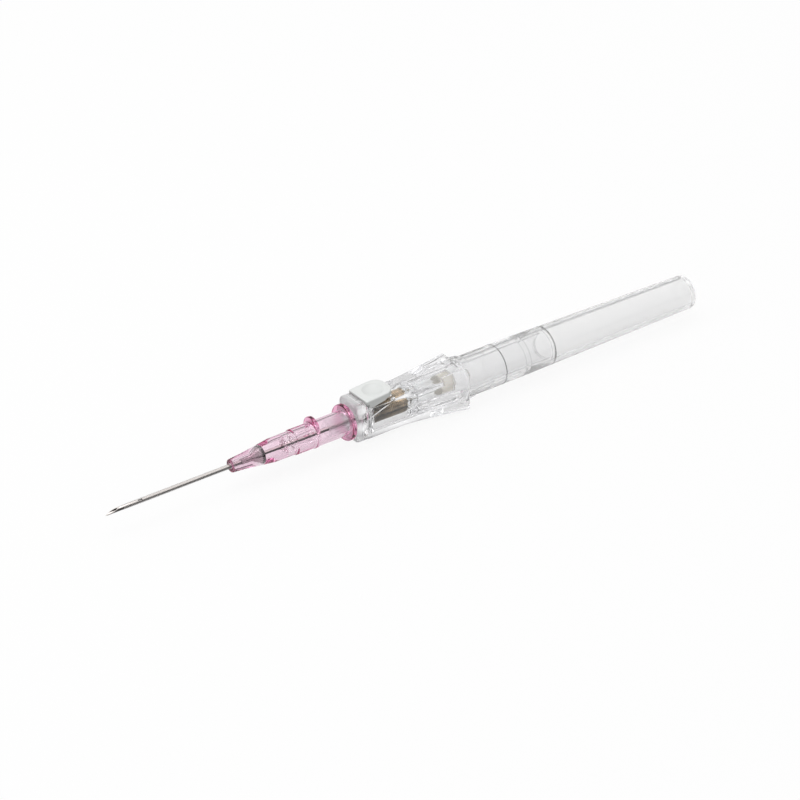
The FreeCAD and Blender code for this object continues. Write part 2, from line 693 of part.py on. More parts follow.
def main():
    os.makedirs("parts", exist_ok=True)
    nodes = {
        "needle_cannula": make_cannula(),
        "catheter_tube": make_catheter_tube(),
        "catheter_wedge": make_wedge(),
        "catheter_hub": make_hub(),
        "septum": make_septum(),
        "septum_actuator": make_actuator(),
        "needle_carriage": make_carriage(),
        "needle_adhesive": make_adhesive(),
        "vent_plug": make_plug(),
        "retraction_spring": make_spring(),
        "push_button": make_button(),
        "grip_housing": make_housing(),
        "rear_barrel": make_barrel(),
    }
    for name, shape in nodes.items():
        solids = shape.Solids
        if len(solids) != 1 or not shape.isValid():
            print(name, "solids", len(solids), "valid", shape.isValid())
        solids[0].exportStep("parts/" + name + ".step")
        print(name, "volume", round(shape.Volume, 3))
    print("button travel", BUTTON_TRAVEL, "carriage travel", round(CARRIAGE_TRAVEL, 3))


main()
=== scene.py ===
import json
import math

import bmesh
import bpy
from bpy.props import FloatProperty, FloatVectorProperty, IntProperty, PointerProperty
from mathutils import Matrix, Vector

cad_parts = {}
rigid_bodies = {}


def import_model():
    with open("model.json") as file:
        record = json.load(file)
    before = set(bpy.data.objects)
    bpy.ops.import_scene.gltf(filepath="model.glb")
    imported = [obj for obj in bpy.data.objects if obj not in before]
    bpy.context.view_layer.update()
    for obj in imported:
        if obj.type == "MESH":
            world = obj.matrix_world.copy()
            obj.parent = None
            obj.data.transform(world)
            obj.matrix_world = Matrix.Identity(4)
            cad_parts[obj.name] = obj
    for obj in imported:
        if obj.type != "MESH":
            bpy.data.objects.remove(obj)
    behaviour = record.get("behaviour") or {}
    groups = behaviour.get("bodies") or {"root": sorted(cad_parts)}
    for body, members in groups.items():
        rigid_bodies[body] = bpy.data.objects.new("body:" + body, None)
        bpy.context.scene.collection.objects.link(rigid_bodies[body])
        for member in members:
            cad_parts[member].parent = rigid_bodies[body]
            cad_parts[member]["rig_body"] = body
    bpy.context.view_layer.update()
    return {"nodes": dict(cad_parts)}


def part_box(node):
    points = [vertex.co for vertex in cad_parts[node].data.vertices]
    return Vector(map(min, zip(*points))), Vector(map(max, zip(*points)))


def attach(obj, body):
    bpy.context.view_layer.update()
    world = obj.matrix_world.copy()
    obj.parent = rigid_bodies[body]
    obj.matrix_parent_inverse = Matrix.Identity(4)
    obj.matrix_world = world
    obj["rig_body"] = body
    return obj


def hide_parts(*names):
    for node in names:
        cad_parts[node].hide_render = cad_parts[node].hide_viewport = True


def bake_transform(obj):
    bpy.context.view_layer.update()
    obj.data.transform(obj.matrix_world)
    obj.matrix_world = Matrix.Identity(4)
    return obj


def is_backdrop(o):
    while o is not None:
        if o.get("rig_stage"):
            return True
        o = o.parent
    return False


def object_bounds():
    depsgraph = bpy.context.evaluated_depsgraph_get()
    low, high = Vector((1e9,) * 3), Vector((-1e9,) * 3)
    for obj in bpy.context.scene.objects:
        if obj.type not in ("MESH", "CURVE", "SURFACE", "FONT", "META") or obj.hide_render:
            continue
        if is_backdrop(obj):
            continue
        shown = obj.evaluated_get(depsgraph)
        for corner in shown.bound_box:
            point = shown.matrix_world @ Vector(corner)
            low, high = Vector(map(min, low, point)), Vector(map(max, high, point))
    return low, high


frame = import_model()

# Finishes of a shielded venous cannula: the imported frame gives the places, this file gives the looks.
# Shapes are worked out in millimetres and turned into metres when a piece is finished.

bl_info = {
    "name": "Shielded venous cannula",
    "version": (1, 0, 0),
    "blender": (4, 5, 0),
    "location": "View3D > Sidebar > Cannula",
    "description": "Dresses the packed frame of a push button venous cannula with finished pieces",
    "category": "Object",
}

MM = 0.001


def span(node):
    """First and last place of a node along the device axis, in millimetres."""
    low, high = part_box(node)
    return low.x / MM, high.x / MM


def reach(node):
    """Largest distance of a node from the axis, measured sideways, in millimetres."""
    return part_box(node)[1].y / MM


# Places along the axis that the frame gives
NEEDLE_TIP, NEEDLE_REAR = span("needle_cannula")
TUBE_TIP, TUBE_REAR = span("catheter_tube")
WEDGE_FRONT, WEDGE_REAR = span("catheter_wedge")
HUB_REAR = span("catheter_hub")[1]
SEPTUM_FRONT, SEPTUM_REAR = span("septum")
ACTUATOR_FRONT, ACTUATOR_REAR = span("septum_actuator")
CARRIAGE_FRONT, CARRIAGE_REAR = span("needle_carriage")
ADHESIVE_FRONT, ADHESIVE_REAR = span("needle_adhesive")
PLUG_FRONT, PLUG_REAR = span("vent_plug")
SPRING_FRONT, SPRING_REAR = span("retraction_spring")
BUTTON_FRONT, BUTTON_REAR = span("push_button")
BARREL_FRONT, BARREL_REAR = span("rear_barrel")

# Smudges of a moulded surface: how fine their noise is, and the level from which it shows
SMUDGE_SCALE = 420.0
SMUDGE_FROM = 0.45

# Needle grind, millimetres
BEVEL_LENGTH = 3.3
GRIND_SHARE = 0.4
NOTCH_FROM_TIP = 7.6
NOTCH_LENGTH = 1.0
NEEDLE_BORE_R = 0.31
NOTCH_FLOOR_Z = NEEDLE_BORE_R * 0.76

# Painted reflection and shade on the needle by how far its surface faces up, from straight down to straight
# up
NEEDLE_PAINTED_SHADE = ((-1.0, 0.3), (-0.5, 0.1), (0.5, 0.07), (0.66, 1.0), (1.0, 1.0))

# Catheter tube and wedge
TUBE_R = 0.55
TUBE_TAPER = 4.0
TUBE_TIP_WALL = 0.035
NEEDLE_GAP = 0.02
FLARE_WALL = 0.09
WEDGE_WALL = 0.08
WEDGE_TUBE_LENGTH = 2.2
WEDGE_RIM_LENGTH = 0.5
SEAT_GAP = 0.02

# Catheter hub
HUB_NOSE_R = 1.42
HUB_NOSE_REAR_R = 1.66
HUB_NOSE_LENGTH = 3.1
HUB_CONE_END = 10.1
HUB_MIDDLE_R = 2.53
HUB_STEP_X = 15.0
HUB_STEP_LENGTH = 0.3
HUB_REAR_R = 2.74
FLANGE_R = 3.93
FLANGE_THICKNESS = 1.05
TAB_X = 19.85
TAB_THICKNESS = 0.75
TAB_R = 2.5
TAB_RAISE = 1.6
TAB_RIB_HEIGHT = 0.14
LUER_MOUTH_R = 2.135
LUER_TAPER = 0.03
LUER_DEPTH = 7.5
HUB_CHAMBER_R = 1.55

# Septum actuator
ACTUATOR_BODY_R = 1.45
ACTUATOR_HOLE_R = 0.95
ACTUATOR_NOSE_LENGTH = 1.6
ACTUATOR_COLLAR_LENGTH = 0.8

# Frost on the grip's nose block, up to where it ends, and on the hub's front rim
NOSE_END = 32.4
FROST = 0.08
HUB_RIM_FROST_END = 0.8
HUB_RIM_FROST = 0.22
FROST_FADE = 0.5

# Refractive index of the grip's surfaces by place: spigot, outer moulding, sleeve
GRIP_INDEX = ((20.0, 1.14), (28.9, 1.14), (29.0, 1.5), (57.0, 1.5), (57.2, 1.1), (85.0, 1.1))

# Carriage
HEAD_X = 43.31
HEAD_LENGTH = 1.3
HEAD_RIM = 0.25
HEAD_RIB_HEIGHT = 0.16
HEAD_RIB_WIDTH = 0.22
STEM_R = 1.6
KNOB_R = 1.3
KNOB_LENGTH = 0.9
NECK_R = 0.8
CHAMBER_R = 2.25
CHAMBER_REAR_R = 2.0
CHAMBER_STEP = 2.9
FLASH_BORE_R = 1.25

# Painted shade on the spring: darker in its front seat and under the axis, darkest in a thin band at the axis
# beside the carriage's ledge
SPRING_PAINTED_SHADE_ALONG = ((33.5, 0.3), (36.5, 0.4), (39.5, 1.0), (43.0, 1.0))
SPRING_PAINTED_SHADE_UP = ((-2.6, 0.45), (-0.3, 0.5), (-0.15, 0.04), (0.15, 0.04), (0.3, 0.9), (2.6, 1.0))

# Button
CAP_FRONT_Z = 5.05
CAP_REAR_Z = 5.55
CAP_UNDER_Z = 4.2
CAP_REAR_ROUND = 2.5
CAP_FRONT_ROUND = 0.4
CAP_EDGE_ROUND = 0.28
DISH_FROM_FRONT = 3.8
SKIRT_INNER = 3.01
SKIRT_THICKNESS = 0.2
SKIRT_DEPTH = 0.9
LATCH_X = 32.54
LATCH_THICKNESS = 0.8
LATCH_HALF_Y = 2.3
LATCH_FOOT_Z = -1.9
LATCH_NECK_R = 0.9
LATCH_KNOB_R = 1.4
BUTTON_TRAVEL = 1.1
# Painted shade: the share of the top's colour that the button's sides keep
BUTTON_PAINTED_SIDE_SHADE = 0.62

# Barrel
SLEEVE_END = 80.1
BARREL_STRAIGHT = 13.0
BARREL_END_R = 3.77
BARREL_END_WALL = 1.05
BARREL_END_ROUND = 0.9
BARREL_BORE_R = 3.56
BARREL_REAR_WALL = 0.85
BARREL_STEP_GAP = 0.6
BARREL_GROOVES = ((67.2, 0.16), (72.4, 0.04), (73.7, 0.05), (80.4, 0.16))
BARREL_GROOVE_WIDTH = 0.26
# Painted shade in the grooves: share for each millimetre of depth, and the most it reaches
BARREL_GROOVE_PAINTED_SHADE = 5.0
BARREL_GROOVE_PAINTED_DARKEST = 0.8

# Brightness of the sky, as stops of (place, brightness): as metal mirrors it and in diffuse light, by height
# from the horizon to overhead, and as clear plastic bends it, by nearness to the camera's direction
MIRRORED_SKY = ((0.0, 0.12), (0.14, 0.15), (0.3, 0.7), (0.5, 1.0), (1.0, 1.0))
ROOM_SKY = ((0.0, 0.97), (0.3, 0.9), (0.55, 0.4), (0.75, 0.1), (1.0, 0.06))
SOFT_SKY = ((0.0, 0.7), (0.5, 0.8), (1.0, 0.9))
FLOOR_PALE = 0.8
FLOOR_GLOW = 0.9
FLOOR_LOST_IN_MIRRORS = 0.35
FLOOR_HALF_SIZE = 2.0

# The photograph's view: direction, distance and framing of an 800 by 800 picture
CAMERA_AZIMUTH = -37.0
CAMERA_ELEVATION = 31.0
CAMERA_ROLL = 0.21
CAMERA_DISTANCE = 900.0
CAMERA_TARGET_X = 41.16
CAMERA_PIXELS_PER_MM = 4.86
PICTURE_WIDTH = 800
TARGET_PIXEL = (394.2, 403.1)
SENSOR_WIDTH = 36.0


class CannulaSizes(bpy.types.PropertyGroup):
    """Sizes that a user may want to change."""

    edge_round: FloatProperty(
        name="Edge round", description="Radius on the edges of moulded pieces, in millimetres",
        default=0.07, min=0.01, max=0.2)
    needle_diameter: FloatProperty(
        name="Needle", description="Outside diameter of the steel needle", unit="LENGTH",
        default=2 * reach("needle_cannula") * MM)
    spring_wire: FloatProperty(
        name="Spring wire", description="Thickness of the retraction spring's wire", unit="LENGTH",
        default=0.36 * MM)
    spring_turns: IntProperty(
        name="Spring turns", description="Turns of the retraction spring", default=19, min=4, max=40)
    dish_radius: FloatProperty(
        name="Thumb dish", description="Radius of the dish in the button", unit="LENGTH", default=2.3 * MM)
    dish_depth: FloatProperty(
        name="Dish depth", description="Depth of the dish in the button", unit="LENGTH", default=0.55 * MM)
    head_ribs: IntProperty(
        name="Head ribs", description="Ribs round the carriage's spring head", default=26, min=3, max=60)


class CannulaColours(bpy.types.PropertyGroup):
    """Colours that a user may want to change."""

    hub: FloatVectorProperty(
        name="Hub", description="Surface tint of the pink hub", subtype="COLOR", size=3,
        default=(1.0, 0.965, 0.985))
    hub_depth: FloatVectorProperty(
        name="Hub depth", description="Colour that the pink plastic takes with thickness", subtype="COLOR",
        size=3, default=(0.745, 0.15, 0.473))
    # Painted light: the deeper tint that light gathered in the tab and flange gives
    hub_rim_painted_light: FloatVectorProperty(
        name="Hub rims", description="Surface tint of the hub's tab and flange, where light gathers",
        subtype="COLOR", size=3, default=(0.90, 0.50, 0.68))
    grip: FloatVectorProperty(
        name="Grip", description="Tint of the clear grip", subtype="COLOR", size=3,
        default=(0.99, 0.99, 0.993))
    barrel: FloatVectorProperty(
        name="Barrel", description="Tint of the pale rear barrel", subtype="COLOR", size=3,
        default=(0.997, 0.997, 0.998))
    button: FloatVectorProperty(
        name="Button", description="Colour of the push button", subtype="COLOR", size=3,
        default=(0.67, 0.685, 0.675))
    steel: FloatVectorProperty(
        name="Steel", description="Colour of the needle", subtype="COLOR", size=3,
        default=(0.82, 0.77, 0.74))
    spring: FloatVectorProperty(
        name="Spring", description="Colour of the spring wire", subtype="COLOR", size=3,
        default=(0.80, 0.61, 0.40))


# Mesh helpers, all in millimetres

def rounded(profile, steps=4):
    """Closed outline of (x, r) or (x, r, corner radius), with an arc at each corner that has a radius."""
    result = []
    count = len(profile)
    for index, point in enumerate(profile):
        here = Vector(point[:2])
        corner = point[2] if len(point) > 2 else 0.0
        to_last = Vector(profile[index - 1][:2]) - here
        to_next = Vector(profile[(index + 1) % count][:2]) - here
        if corner <= 0 or to_last.length < 1e-6 or to_next.length < 1e-6:
            result.append(tuple(here))
            continue
        half_angle = to_last.angle(to_next) / 2
        cut = min(corner / math.tan(half_angle), 0.45 * to_last.length, 0.45 * to_next.length)
        radius = cut * math.tan(half_angle)
        middle = (to_last.normalized() + to_next.normalized()).normalized()
        centre = here + middle * (radius / math.sin(half_angle))
        start = here + to_last.normalized() * cut - centre
        end = here + to_next.normalized() * cut - centre
        turn = math.atan2(start.x * end.y - start.y * end.x, start.dot(end))
        for step in range(steps + 1):
            angle = turn * step / steps
            spoke = Vector((
                start.x * math.cos(angle) - start.y * math.sin(angle),
                start.x * math.sin(angle) + start.y * math.cos(angle),
            ))
            result.append(tuple(centre + spoke))
    return result


def lathe(name, profile, around=128):
    """Closed solid turned about the device axis from a closed outline of (x, radius)."""
    points = []
    rings = []
    for x, r in profile:
        if r < 1e-5:
            rings.append([len(points)])
            points.append((x, 0, 0))
            continue
        rings.append(list(range(len(points), len(points) + around)))
        for step in range(around):
            angle = 2 * math.pi * step / around
            points.append((x, r * math.cos(angle), r * math.sin(angle)))
    faces = []
    for first, second in zip(rings, rings[1:] + rings[:1]):
        for step in range(around):
            following = (step + 1) % around
            if len(first) > 1 and len(second) > 1:
                faces.append((first[step], first[following], second[following], second[step]))
            elif len(first) > 1:
                faces.append((first[step], first[following], second[0]))
            elif len(second) > 1:
                faces.append((first[0], second[following], second[step]))
    return solid(name, points, faces)


def clean(mesh, merge=1e-5):
    """Merges doubles and turns all faces outwards."""
    bm = bmesh.new()
    bm.from_mesh(mesh)
    bmesh.ops.remove_doubles(bm, verts=bm.verts, dist=merge)
    bmesh.ops.recalc_face_normals(bm, faces=bm.faces)
    if bm.calc_volume(signed=True) < 0:
        bmesh.ops.reverse_faces(bm, faces=bm.faces)
    bm.to_mesh(mesh)
    bm.free()


def solid(name, points, faces, turn=None):
    """Draft from points and faces, turned if asked."""
    mesh = bpy.data.meshes.new(name)
    mesh.from_pydata(points, [], faces)
    if turn:
        mesh.transform(turn)
    clean(mesh)
    return draft(name, mesh)


def draft(name, mesh):
    """Unfinished object in millimetres."""
    obj = bpy.data.objects.new(name + "_draft", mesh)
    bpy.context.scene.collection.objects.link(obj)
    return obj


def stack(name, rings):
    """Closed solid through rings of equally many points; a ring of one point closes an end."""
    points = []
    index_rings = []
    for ring in rings:
        index_rings.append(list(range(len(points), len(points) + len(ring))))
        points.extend(ring)
    faces = []
    for first, second in zip(index_rings, index_rings[1:]):
        count = max(len(first), len(second))
        for step in range(count):
            following = (step + 1) % count
            if len(first) == 1:
                faces.append((first[0], second[step], second[following]))
            elif len(second) == 1:
                faces.append((first[step], first[following], second[0]))
            else:
                faces.append((first[step], first[following], second[following], second[step]))
    return solid(name, points, faces)


def block(name, low, high):
    """Plain cutter between two corners."""
    mesh = bpy.data.meshes.new(name)
    bm = bmesh.new()
    bmesh.ops.create_cube(bm, size=1)
    size = Vector(high) - Vector(low)
    bmesh.ops.scale(bm, vec=size, verts=bm.verts)
    bmesh.ops.translate(bm, vec=(Vector(high) + Vector(low)) / 2, verts=bm.verts)
    bm.to_mesh(mesh)
    bm.free()
    return draft(name, mesh)


def plate(name, outlines, thickness, edge, place):
    """Flat plate with holes and rounded edges, from closed outlines, put in place by a matrix."""
    curve = bpy.data.curves.new(name, "CURVE")
    curve.dimensions = "2D"
    curve.fill_mode = "BOTH"
    curve.extrude = thickness / 2 - edge
    curve.bevel_depth = edge
    curve.bevel_resolution = 2
    curve.offset = -edge
    for outline in outlines:
        spline = curve.splines.new("POLY")
        spline.points.add(len(outline) - 1)
        for point, (x, y) in zip(spline.points, outline):
            point.co = (x, y, 0, 1)
        spline.use_cyclic_u = True
    flat = bpy.data.objects.new(name + "_curve", curve)
    bpy.context.scene.collection.objects.link(flat)
    bpy.context.view_layer.update()
    mesh = bpy.data.meshes.new_from_object(flat.evaluated_get(bpy.context.evaluated_depsgraph_get()))
    bpy.data.objects.remove(flat)
    mesh.transform(place)
    clean(mesh, 1e-4)
    return draft(name, mesh)


def across(x):
    """Place of a plate that stands square across the device axis."""
    return Matrix(((0, 0, 1, x), (1, 0, 0, 0), (0, 1, 0, 0), (0, 0, 0, 1)))


def combine(obj, other, operation):
    """Joins or cuts a draft with another, which is then removed."""
    modifier = obj.modifiers.new("combine", "BOOLEAN")
    modifier.operation = operation
    modifier.solver = "MANIFOLD"
    modifier.object = other
    settle(obj)
    bpy.data.objects.remove(other)
    return obj


def settle(obj):
    """Turns a draft's modifiers into plain mesh."""
    bpy.context.view_layer.update()
    dg = bpy.context.evaluated_depsgraph_get()
    mesh = bpy.data.meshes.new_from_object(obj.evaluated_get(dg))
    obj.modifiers.clear()
    obj.data = mesh
    return obj


def soften(obj, width, limit=35.0, segments=2):
    """Rounds the sharp edges of a draft."""
    modifier = obj.modifiers.new("edges", "BEVEL")
    modifier.width = width
    modifier.segments = segments
    modifier.limit_method = "ANGLE"
    modifier.angle_limit = math.radians(limit)
    modifier.miter_outer = "MITER_ARC"
    return settle(obj)


def finish_piece(name, obj, material, body, node=None, smooth=38.0):
    """Gives a draft its place in metres, its material and its body, and hides the node that it stands for."""
    mesh = obj.data
    mesh.transform(Matrix.Scale(MM, 4))
    mesh.materials.clear()
    mesh.materials.append(material)
    mesh.polygons.foreach_set("use_smooth", [True] * len(mesh.polygons))
    mesh.polygons.foreach_set("material_index", [0] * len(mesh.polygons))
    mesh.set_sharp_from_angle(angle=math.radians(smooth))
    mesh.name = name
    obj.name = name
    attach(obj, body)
    if node:
        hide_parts(node)
    return obj


# Node helpers

def new_group(name, kind, inputs, outputs):
    """Node group with its sockets, given as (name, kind of value, default), and its first and last node."""
    tree = bpy.data.node_groups.new(name, kind)
    for direction, sockets in (("INPUT", inputs), ("OUTPUT", outputs)):
        for label, value, *default in sockets:
            socket = tree.interface.new_socket(name=label, in_out=direction, socket_type="NodeSocket" + value)
            if default:
                socket.default_value = default[0]
    return tree, node(tree, "NodeGroupInput"), node(tree, "NodeGroupOutput")


def node(tree, kind, **settings):
    made = tree.nodes.new(kind)
    for key, value in settings.items():
        setattr(made, key, value)
    return made


def feed(socket, value):
    """Links an input to another node's output, or gives it a plain value."""
    if isinstance(value, bpy.types.NodeSocket):
        socket.id_data.links.new(value, socket)
    else:
        socket.default_value = value


def put(target, **values):
    """Feeds a node's inputs by name, with a space for each underscore."""
    for key, value in values.items():
        feed(target.inputs[key.replace("_", " ")], value)
    return target


def maths(tree, operation, first, second=None, third=None):
    """Math node whose inputs are numbers or sockets."""
    made = node(tree, "ShaderNodeMath", operation=operation)
    for index, value in enumerate((first, second, third)):
        if value is not None:
            feed(made.inputs[index], value)
    return made.outputs[0]


def noise(tree, scale, detail=2.0, stretch=None):
    """Noise on the piece's own coordinates, with its scale a number or a socket."""
    coords = node(tree, "ShaderNodeTexCoord").outputs["Object"]
    if stretch:
        coords = put(node(tree, "ShaderNodeMapping"), Scale=stretch, Vector=coords).outputs[0]
    texture = put(node(tree, "ShaderNodeTexNoise"), Detail=detail, Scale=scale, Vector=coords)
    return texture.outputs["Fac"]


def build_moulded_group():
    """Slow ripple, fine grain and handling smudges of a moulded surface."""
    tree, given, out = new_group("moulded_surface", "ShaderNodeTree", (
        ("Ripple Scale", "Float", 180.0), ("Grain Scale", "Float", 2600.0), ("Grain Share", "Float", 0.2),
        ("Roughness", "Float", 0.1), ("Smudge", "Float", 0.05)),
        (("Roughness", "Float"), ("Height", "Float")))
    ripple = noise(tree, given.outputs["Ripple Scale"], 1.0)
    grain = noise(tree, given.outputs["Grain Scale"], 3.0)
    smudge = noise(tree, SMUDGE_SCALE, 4.0)
    height = maths(tree, "MULTIPLY_ADD", grain, given.outputs["Grain Share"], ripple)
    lifted = maths(tree, "SUBTRACT", smudge, SMUDGE_FROM)
    patch = maths(tree, "MAXIMUM", lifted, 0.0)
    rough = maths(tree, "MULTIPLY_ADD", patch, given.outputs["Smudge"], given.outputs["Roughness"])
    put(out, Roughness=rough, Height=height)
    return tree


def build_drawn_group():
    """Lengthwise lines that drawing leaves on steel tube and wire, as roughness, height and a tone mask."""
    tree, given, out = new_group(
        "drawn_metal", "ShaderNodeTree", (("Roughness", "Float", 0.15), ("Spread", "Float", 0.12)),
        (("Roughness", "Float"), ("Height", "Float"), ("Tone", "Float")))
    lines = noise(tree, 9000.0, 2.0, (0.03, 1.0, 1.0))
    patches = noise(tree, 700.0, 3.0)
    centred = maths(tree, "SUBTRACT", lines, 0.5)
    rough = maths(tree, "MULTIPLY_ADD", centred, given.outputs["Spread"], given.outputs["Roughness"])
    tone = maths(tree, "MULTIPLY_ADD", lines, 0.6, maths(tree, "MULTIPLY", patches, 0.4))
    put(out, Roughness=rough, Height=lines, Tone=tone)
    return tree


def build_tone_group():
    """Slight drift of a colour over a piece."""
    tree, given, out = new_group("tone_drift", "ShaderNodeTree", (
        ("Colour", "Color", (0.8, 0.8, 0.8, 1)), ("Drift", "Float", 0.05), ("Scale", "Float", 250.0)),
        (("Colour", "Color"),))
    drift = noise(tree, given.outputs["Scale"], 3.0)
    centred = maths(tree, "SUBTRACT", drift, 0.5)
    value = maths(tree, "MULTIPLY_ADD", centred, given.outputs["Drift"], 1.0)
    shifted = put(node(tree, "ShaderNodeHueSaturation"), Value=value, Color=given.outputs["Colour"])
    put(out, Colour=shifted.outputs[0])
    return tree


def shared_group(name, build):
    return bpy.data.node_groups.get(name) or build()


def use_group(tree, group, **values):
    return put(node(tree, "ShaderNodeGroup", node_tree=group), **values)


def shader(name):
    """New material with its Principled shader."""
    material = bpy.data.materials.new(name)
    material.use_nodes = True
    return material, material.node_tree, material.node_tree.nodes["Principled BSDF"]


def bump(tree, principled, height, strength, distance):
    made = put(node(tree, "ShaderNodeBump"), Strength=strength, Distance=distance * MM, Height=height)
    put(principled, Normal=made.outputs[0])


def absorb(tree, colour, density):
    """Lets a clear plastic deepen with its thickness; density is per metre."""
    volume = put(node(tree, "ShaderNodeVolumeAbsorption"), Color=(*colour, 1), Density=density)
    put(tree.nodes["Material Output"], Volume=volume.outputs[0])


def plastic(name, colour, roughness, smudge, drift, strength=0.15, depth=0.01, grain=0.2,
            ripple_scale=180.0, grain_scale=2600.0):
    """Moulded plastic with shared surface and tone effects; the caller sets what makes it clear or soft."""
    material, tree, principled = shader(name)
    surface = use_group(tree, shared_group("moulded_surface", build_moulded_group), Ripple_Scale=ripple_scale,
                        Grain_Scale=grain_scale, Grain_Share=grain, Roughness=roughness, Smudge=smudge)
    tone = use_group(tree, shared_group("tone_drift", build_tone_group), Drift=drift, Colour=(*colour, 1))
    put(principled, Base_Color=tone.outputs[0], Roughness=surface.outputs["Roughness"])
    bump(tree, principled, surface.outputs["Height"], strength, depth)
    material.diffuse_color = (*colour, 1)
    return material, tree, principled


def clear_plastic(name, colour, ior, roughness, depth_colour, density, **surface):
    """Plastic that lets light through and takes a colour with its thickness."""
    material, tree, principled = plastic(name, colour, roughness, **surface)
    put(principled, IOR=ior, Transmission_Weight=1.0)
    absorb(tree, depth_colour, density)
    return material


def own_axes(tree):
    """The piece's own x, y and z."""
    place = node(tree, "ShaderNodeTexCoord").outputs["Object"]
    return put(node(tree, "ShaderNodeSeparateXYZ"), Vector=place).outputs


def off_axis(tree):
    """Distance from the device axis."""
    squares = [maths(tree, "MULTIPLY", side, side) for side in own_axes(tree)[1:]]
    return maths(tree, "SQRT", maths(tree, "ADD", *squares))


def upwardness(tree):
    """How far a surface faces up, from -1 to 1."""
    normal = node(tree, "ShaderNodeNewGeometry").outputs["Normal"]
    return put(node(tree, "ShaderNodeSeparateXYZ"), Vector=normal).outputs[2]


def ramp_along(tree, value, stops, unit=MM):
    """Value that follows a ramp over a place, from stops of (place, value), with places in the unit."""
    first, last = stops[0][0], stops[-1][0]
    share = maths(tree, "DIVIDE", maths(tree, "SUBTRACT", value, first * unit), (last - first) * unit)
    ramp = node(tree, "ShaderNodeFloatCurve")
    curve = ramp.mapping.curves[0]
    top = max(level for _, level in stops)
    for index, (place, level) in enumerate(stops):
        at = ((place - first) / (last - first), level / top)
        if index in (0, len(stops) - 1):
            point = curve.points[0 if index == 0 else -1]
            point.location = at
        else:
            point = curve.points.new(*at)
        point.handle_type = "VECTOR"
    ramp.mapping.update()
    put(ramp, Value=share)
    return maths(tree, "MULTIPLY", ramp.outputs[0], top)


def mix_colours(tree, share, first, second, **settings):
    """Mix of two colours, each a value or a socket, as a socket."""
    mix = node(tree, "ShaderNodeMix", data_type="RGBA", **settings)
    for index, value in ((0, share), (6, first), (7, second)):
        feed(mix.inputs[index], value)
    return mix.outputs[2]


def tint_by(tree, value):
    """Multiplies a material's base colour by a value."""
    principled = tree.nodes["Principled BSDF"]
    plain = principled.inputs["Base Color"].links[0].from_socket
    put(principled, Base_Color=mix_colours(tree, 1.0, plain, value, blend_type="MULTIPLY"))


def metal(name, colour, roughness, spread, strength, dark):
    """Drawn metal, whose tone runs from its colour down to a darker share of it."""
    material, tree, principled = shader(name)
    drawn = use_group(tree, shared_group("drawn_metal", build_drawn_group), Roughness=roughness,
                      Spread=spread)
    darker = (*(value * dark for value in colour), 1)
    shaded = mix_colours(tree, drawn.outputs["Tone"], darker, (*colour, 1))
    put(principled, Base_Color=shaded, Roughness=drawn.outputs["Roughness"], Metallic=1.0)
    bump(tree, principled, drawn.outputs["Height"], strength, 0.002)
    material.diffuse_color = (*colour, 1)
    return material


# Needle

def make_needle(context):
    sizes = context.scene.cannula_sizes
    colours = context.scene.cannula_colours
    radius = sizes.needle_diameter / 2 / MM
    tube = lathe("needle_cannula", rounded([
        (NEEDLE_TIP, radius),
        (NEEDLE_TIP, NEEDLE_BORE_R),
        (NEEDLE_REAR, NEEDLE_BORE_R),
        (NEEDLE_REAR, radius, 0.04),
    ]), 64)
    far = 4 * radius
    # The slanted face climbs from the point below to the heel above, then two side grinds make the lancet
    front, rear = NEEDLE_TIP - 1, NEEDLE_TIP + BEVEL_LENGTH + 1
    slope = Vector((BEVEL_LENGTH, 0, 2 * radius))
    cutter = wedge_cutter("bevel", [
        (front, -radius - slope.z / slope.x), (rear, radius + slope.z / slope.x), (rear, far), (front, far),
    ], far)
    combine(tube, cutter, "DIFFERENCE")
    grind_end = NEEDLE_TIP + BEVEL_LENGTH * GRIND_SHARE
    for side in (-1, 1):
        plan = [
            (NEEDLE_TIP - 0.1, side * 0.02), (grind_end, side * radius),
            (grind_end, side * far), (NEEDLE_TIP - 0.1, side * far)]
        upright = Matrix.Rotation(math.radians(-90), 4, "X")
        combine(tube, wedge_cutter("grind", [(x, -y) for x, y in plan], far, upright), "DIFFERENCE")
    notch_x = NEEDLE_TIP + NOTCH_FROM_TIP
    notch = block("notch", (notch_x, -radius, NOTCH_FLOOR_Z), (notch_x + NOTCH_LENGTH, radius, radius + 0.1))
    combine(tube, notch, "DIFFERENCE")
    steel = metal("needle_steel", colours.steel, 0.10, 0.06, 0.012, 0.85)
    tree = steel.node_tree
    # Painted reflection and shade: only faces that look up keep the steel's colour, the rest are darkened
    tint_by(tree, ramp_along(tree, upwardness(tree), NEEDLE_PAINTED_SHADE, 1.0))
    finish_piece("needle_cannula_polished", tube, steel, "carriage", "needle_cannula", 30.0)


def wedge_cutter(name, outline, half_width, turn=None):
    """Prism over an outline in x and z, as wide as asked to both sides."""
    points = [(x, side * half_width, z) for side in (-1, 1) for x, z in outline]
    count = len(outline)
    faces = [tuple(range(count)), tuple(range(2 * count - 1, count - 1, -1))]
    for step in range(count):
        following = (step + 1) % count
        faces.append((step, step + count, following + count, following))
    return solid(name, points, faces, turn)


# Catheter tube and the metal wedge that locks it in the hub

def wedge_outer_r():
    return reach("needle_cannula") + NEEDLE_GAP * 2 + WEDGE_WALL


